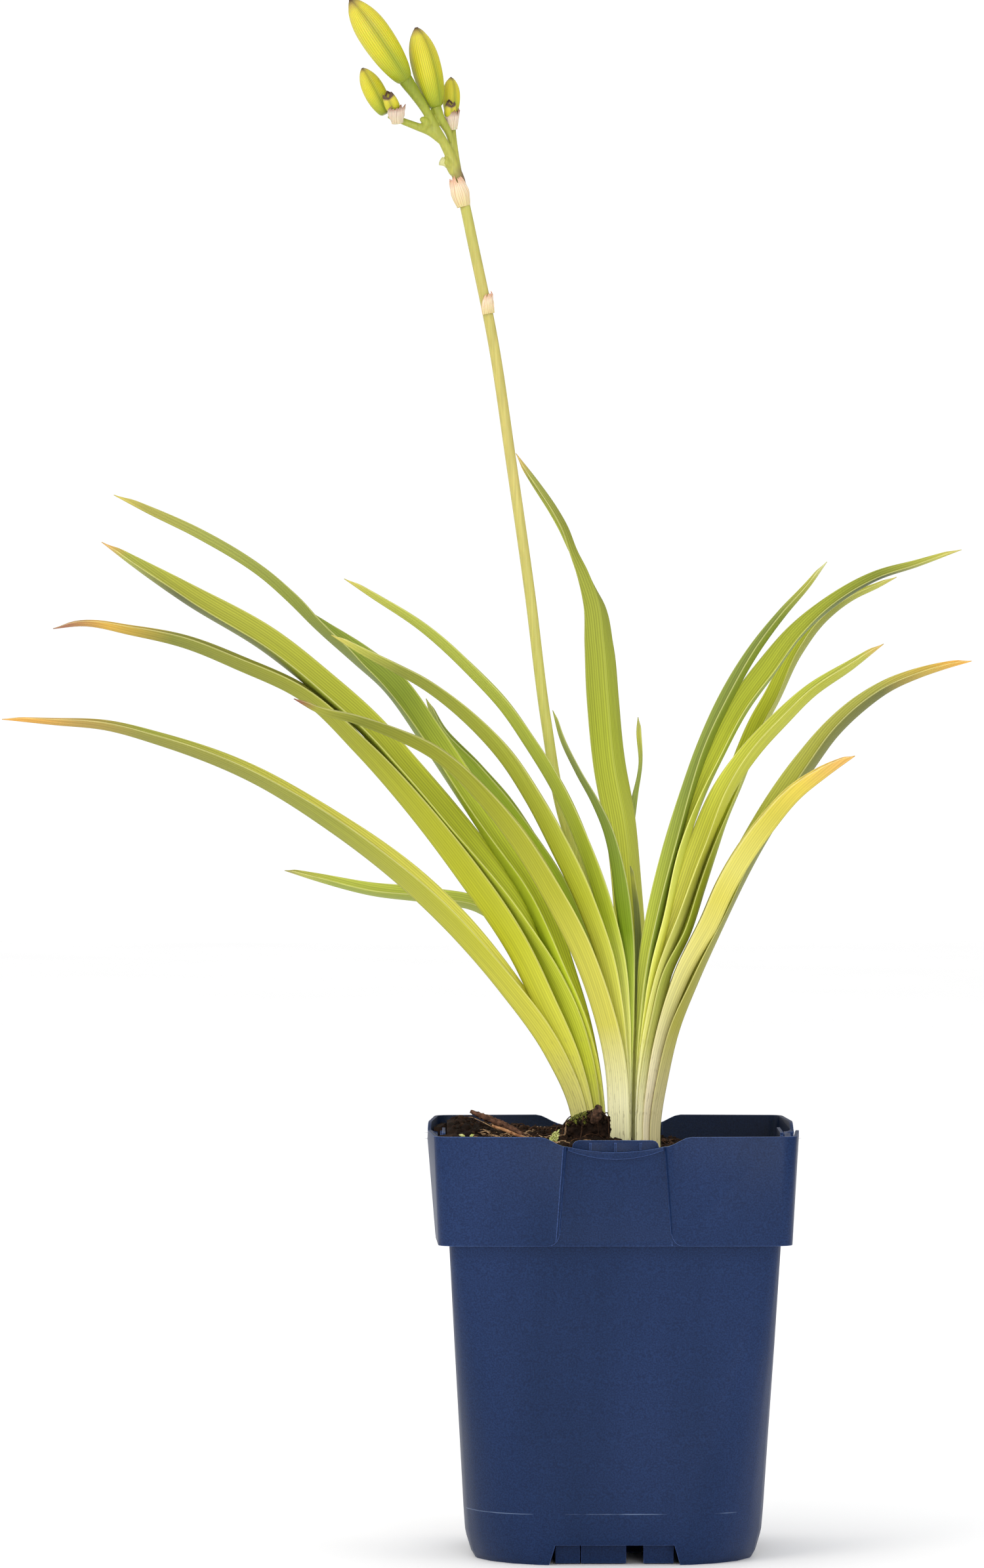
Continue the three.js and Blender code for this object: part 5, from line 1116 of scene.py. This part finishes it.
# %% [markdown]
# ## Crumbs, clod and roots
# Crumbs are small lumpy balls that have been squashed and turned at random. The clod in
# front of the left shoot is the same thing, only large, with moss on its upper left. Fine
# pale roots and dark fibres lie over the surface, as they do in any pot a few months old.

# %% Lumpy balls
ROUGHNESS = 0.5  # how far a crumb's surface swells and sinks, as a share of its size


def ball(level):
    """A unit icosphere's points and faces."""
    mesh = bmesh.new()
    bmesh.ops.create_icosphere(mesh, subdivisions=level, radius=1)
    points = np.array([v.co[:] for v in mesh.verts])
    faces = [tuple(v.index for v in f.verts) for f in mesh.faces]
    mesh.free()
    return points, faces


def lump(level, centre, size, seed):
    """A ball squashed to size and made crumbly by noise of two sizes."""
    points, faces = BALLS[level]
    offset = Vector((seed * 3.7, seed * 1.3, 0))
    swell = np.array([
        1 + ROUGHNESS * (noise.noise(Vector(p) * 1.6 + offset)
                         + 0.5 * noise.noise(Vector(p) * 4.1 + offset)) for p in points])
    return points * swell[:, None] * np.array(size) + np.array(centre), faces


def turned(points, centre, rng):
    turn = Euler(rng.uniform(0, 2 * math.pi, 3)).to_matrix()
    return (points - centre) @ np.array(turn).T + centre


BALLS = {level: ball(level) for level in (1, 2, 6)}
CLOD = (-9.5, -21, 158.4)
CLOD_SIZE = (9.2, 8.6, 8.0)


def clod_rise(u):
    """The clod's height at the share u of its half width: low on the left, high on the right."""
    return 0.76 + 0.3 * u


def clod_form():
    points, faces = BALLS[6]
    out = []
    for p in points:
        rise = clod_rise(p[0]) if p[2] > 0 else 1
        spot = Vector(p * CLOD_SIZE * (1, 1, rise)) + Vector(CLOD)
        crumble = 0.9 * noise.fractal(spot / 5, 1.0, 2.0, 3)
        crumble += 0.55 * noise.fractal(spot / 1.7, 0.9, 2.1, 4)
        narrow = 1 - 0.22 * max(p[2], 0)
        inward = Vector((p[0], p[1], 0)) * (1 - narrow) * 8
        out.append(spot + Vector(p) * (crumble - 0.9) - inward)
    return np.array(out), faces


points, faces = clod_form()
clod = mesh_piece("compost_clod", points, faces, compost,
                  {"shade": [0.45 + 0.4 * noise.noise(Vector(p) / 2.5) for p in points]})
settle(clod, "compost", "soil")

# %% Crumbs
CRUMBS = 2600
WALL_CLEAR = 58  # loose things stay this near the middle
rng = np.random.default_rng(11)


def surface(x, y):
    """The soil's height, or the clod's where it stands higher."""
    height = soil_height(x, y) + grains(x, y)
    away = ((x - CLOD[0]) / CLOD_SIZE[0]) ** 2 + ((y - CLOD[1]) / CLOD_SIZE[1]) ** 2
    if away < 0.95:
        rise = clod_rise((x - CLOD[0]) / CLOD_SIZE[0])
        height = max(height, CLOD[2] + (CLOD_SIZE[2] - 1) * rise * math.sqrt(1 - away))
    return height


parts, shades = [], []
for i in range(CRUMBS):
    if i % 9 == 0:  # every ninth crumb has fallen off the clod
        x, y = rng.normal(CLOD[0], 8), rng.normal(CLOD[1] - 2, 9)
    else:
        x, y = rng.uniform(-59.5, 59.5, 2)
    size = 0.3 + rng.gamma(1.5, 0.34)
    size = min(size, 0.85 if math.hypot(x - CLOD[0], y - CLOD[1]) < 11 else 2.1)
    if abs(x) > WALL_CLEAR and abs(y) > WALL_CLEAR:
        continue
    centre = np.array([x, y, surface(x, y) + 0.1 * size])
    level = 2 if size > 0.95 else 1
    points, faces = lump(level, centre, size * rng.uniform(0.6, 1.15, 3), i)
    points = turned(points, centre, rng)
    parts.append((points, faces))
    shades += [rng.uniform(0.25, 0.75)] * len(points)
crumbs = mesh_piece("compost_crumbs", *joined(parts), compost, {"shade": shades})
settle(crumbs, "compost", "soil")

# %% Roots and fibres
WANDER = 0.5  # about how much a thread turns at each of its steps, in radians


def wandering(start, heading, length, radius, lift, rng):
    """A thin thread from start that wanders over the soil, raised by lift at its middle."""
    rows, at, steps = [], np.array(start, float), 6
    for k in range(steps + 1):
        height = surface(at[0], at[1]) + radius + 0.25 + lift * math.sin(math.pi * k / steps)
        rows.append((*at, height, radius * (1 - 0.5 * k / steps)))
        heading += rng.normal(0, WANDER)
        at = at + np.array([math.cos(heading), math.sin(heading)]) * length / steps
        at = np.clip(at, -59, 59)
    return tube(rows, 18, 6)


def plain_skin(name, dark, light, scale, rough):
    """A dull natural skin of two mixed tones."""
    made, tree, shader = new_material(name, Roughness=rough, IOR=1.42, Specular_IOR_Level=0.25)
    place = add(tree, "TexCoord")
    tone = add(tree, "TexNoise",
               {"Vector": place.outputs["Object"], "Scale": scale, "Detail": 4.0})
    both = add(tree, "ValToRGB", {"Fac": tone}, stops=[(0.35, dark), (0.65, light)])
    bump = add(tree, "Bump", {"Height": tone, "Strength": 0.6, "Distance": 0.0002})
    feed(tree, shader, {"Base Color": both, "Normal": bump})
    return made


root_skin = plain_skin("pale_root", "#6e5038", "#c9a67e", 700.0, 0.6)
fibre_skin = plain_skin("dark_peat_fibre", "#2a1a10", "#5a3c26", 700.0, 0.8)
FIBRES = 420
STRAWS = 90  # the last of them, pale straws in front on the left
pale_roots, dark_fibres = [], []
for i in range(FIBRES):
    straw = i >= FIBRES - STRAWS
    start = rng.uniform(-WALL_CLEAR, WALL_CLEAR, 2)
    heading = rng.uniform(0, 2 * math.pi)
    if straw:
        start = (rng.uniform(-44, -22), rng.uniform(-48, 0))
        heading = rng.choice([0.3, -0.4, 2.7]) + rng.normal(0, 0.3)
    if i % 5 == 0 or straw:
        pale_roots.append(wandering(start, heading, rng.uniform(6, 15), 0.2, 0.8, rng))
    else:
        thick = rng.uniform(0.12, 0.3)
        dark_fibres.append(wandering(start, heading, rng.uniform(4, 13), thick, 1.1, rng))
settle(mesh_piece("pale_roots", *joined(pale_roots), root_skin), "bark", "soil")
settle(mesh_piece("peat_fibres", *joined(dark_fibres), fibre_skin), "bark", "soil")

# %% Twig, root piece and bark flake
LOOSE = {
    "stick": [(-44.7, -6, 156.4, 0.45), (-40, -7, 154.9, 0.6), (-35.4, -8, 153, 0.55),
              (-31, -9, 151.2, 0.45)],
    "root_piece": [(-52.8, 2, 161.3, 0.6), (-46, 2, 158.6, 1.2), (-40, 1, 156.2, 1.2),
                   (-35, 0, 153.6, 0.9), (-31, -1, 151.4, 0.7)],
    "bark_flake": [(-7.6, -28.4, 158.8, 1.3), (-6.2, -29.2, 162, 2), (-5.4, -28.4, 165.4, 0.9)],
}
LOOSE_SKINS = {
    "stick": plain_skin("tan_twig", "#7c4e30", "#c59468", 500.0, 0.6),
    "root_piece": plain_skin("brown_root", "#22140d", "#765340", 650.0, 0.8),
    "bark_flake": plain_skin("brown_bark", "#170d08", "#5f4433", 700.0, 0.8),
}
STEPS, SIDES = 40, 20
for name, rows in LOOSE.items():
    rows = raised(rows)
    points, faces = tube(rows, STEPS, SIDES)
    depth = 0.12 if name == "stick" else 0.42
    rough = np.array([depth * noise.fractal(Vector(p) * 1.3, 0.9, 2.0, 4) for p in points])
    middle = along_rows(rows, np.repeat(np.linspace(0, 1, STEPS + 1), SIDES))[0][:, :3]
    out = np.vstack([unit(points[:-2] - middle), np.zeros((2, 3))])
    points = points + out * rough[:, None]
    settle(mesh_piece(name + "_bark", points, faces, LOOSE_SKINS[name]), "bark", name)

# %% [markdown]
# ## Moss
# Moss grows as small shoots with pointed leaflets set all round. One pale tuft stands in
# front, a tiny sprout at the left, and a dark low cushion covers the clod's upper left.
# Each leaflet is a thin closed spindle, which is enough at this size.

# %% Moss shoots
def spindle(start, end, radius, sides=5):
    """A closed pointed leaflet."""
    mid = [s + (e - s) * 0.4 for s, e in zip(start, end)]
    rows = [(*start, radius * 0.35), (*mid, radius), (*end, radius * 0.12)]
    return tube(rows, 4, sides)


def shoot(foot, lean, height, leaflets, reach, rng):
    """A moss shoot: a stalk with leaflets round it."""
    foot = np.array(foot, float)
    top = foot + np.array(lean) + (0, 0, height)
    parts = [spindle(foot, top, 0.22)]
    for k in range(leaflets):
        t = 0.2 + 0.8 * k / leaflets
        angle = k * 2.4 + rng.uniform(0, 0.5)
        at = foot + (top - foot) * t
        size = reach * (1 - 0.45 * t) * rng.uniform(0.75, 1.2)
        tip = at + size * np.array([math.cos(angle), math.sin(angle), 0.75])
        parts.append(spindle(at, tip, 0.19 * reach))
    return parts


pale_moss = plain_skin("pale_moss", "#a9b25a", "#dfe09a", 900.0, 0.6)
dark_moss = plain_skin("dark_moss", "#3c421a", "#8c8e3c", 900.0, 0.7)
TUFT_SHOOTS, CUSHION_SHOOTS = 9, 120
tuft = []
for _ in range(TUFT_SHOOTS):
    foot = (-22 + rng.normal(0, 0.9), -34.2 + rng.normal(0, 0.9), 152.5)
    lean = (rng.normal(0.8, 0.7), rng.normal(0, 0.7), 0)
    tuft += shoot(foot, lean, rng.uniform(3.6, 6.2), 9, 1.5, rng)
settle(mesh_piece("moss_tuft_shoots", *joined(tuft), pale_moss), "moss", "moss_tuft")
cushion = []
for _ in range(CUSHION_SHOOTS):
    angle, rise = rng.uniform(1.6, 4.6), rng.uniform(0.25, 1.3)
    level = math.cos(rise)
    out = np.array([math.cos(angle) * level, math.sin(angle) * level, math.sin(rise)])
    foot = np.array(CLOD) + out * (np.array(CLOD_SIZE) - 1.1) * (1, 1, clod_rise(out[0]))
    cushion += shoot(foot, out * 0.9, 0.5, 4, 0.8, rng)
settle(mesh_piece("moss_cushion", *joined(cushion), dark_moss), "moss", "moss_tuft")
sprout = []
for side, reach in ((-1, 2.2), (1, 1.6)):
    foot, top = (-54 + 0.4 * side, -57, 154), (-54 + 0.9 * side, -57.6, 157.6)
    sprout += [spindle(foot, top, 0.25, 8)]
    sprout += [spindle(top, (top[0] + side * reach, -58, 158.3), 0.6, 10)]
settle(mesh_piece("seedling_leaves", *joined(sprout), pale_moss), "moss", "moss_tuft")
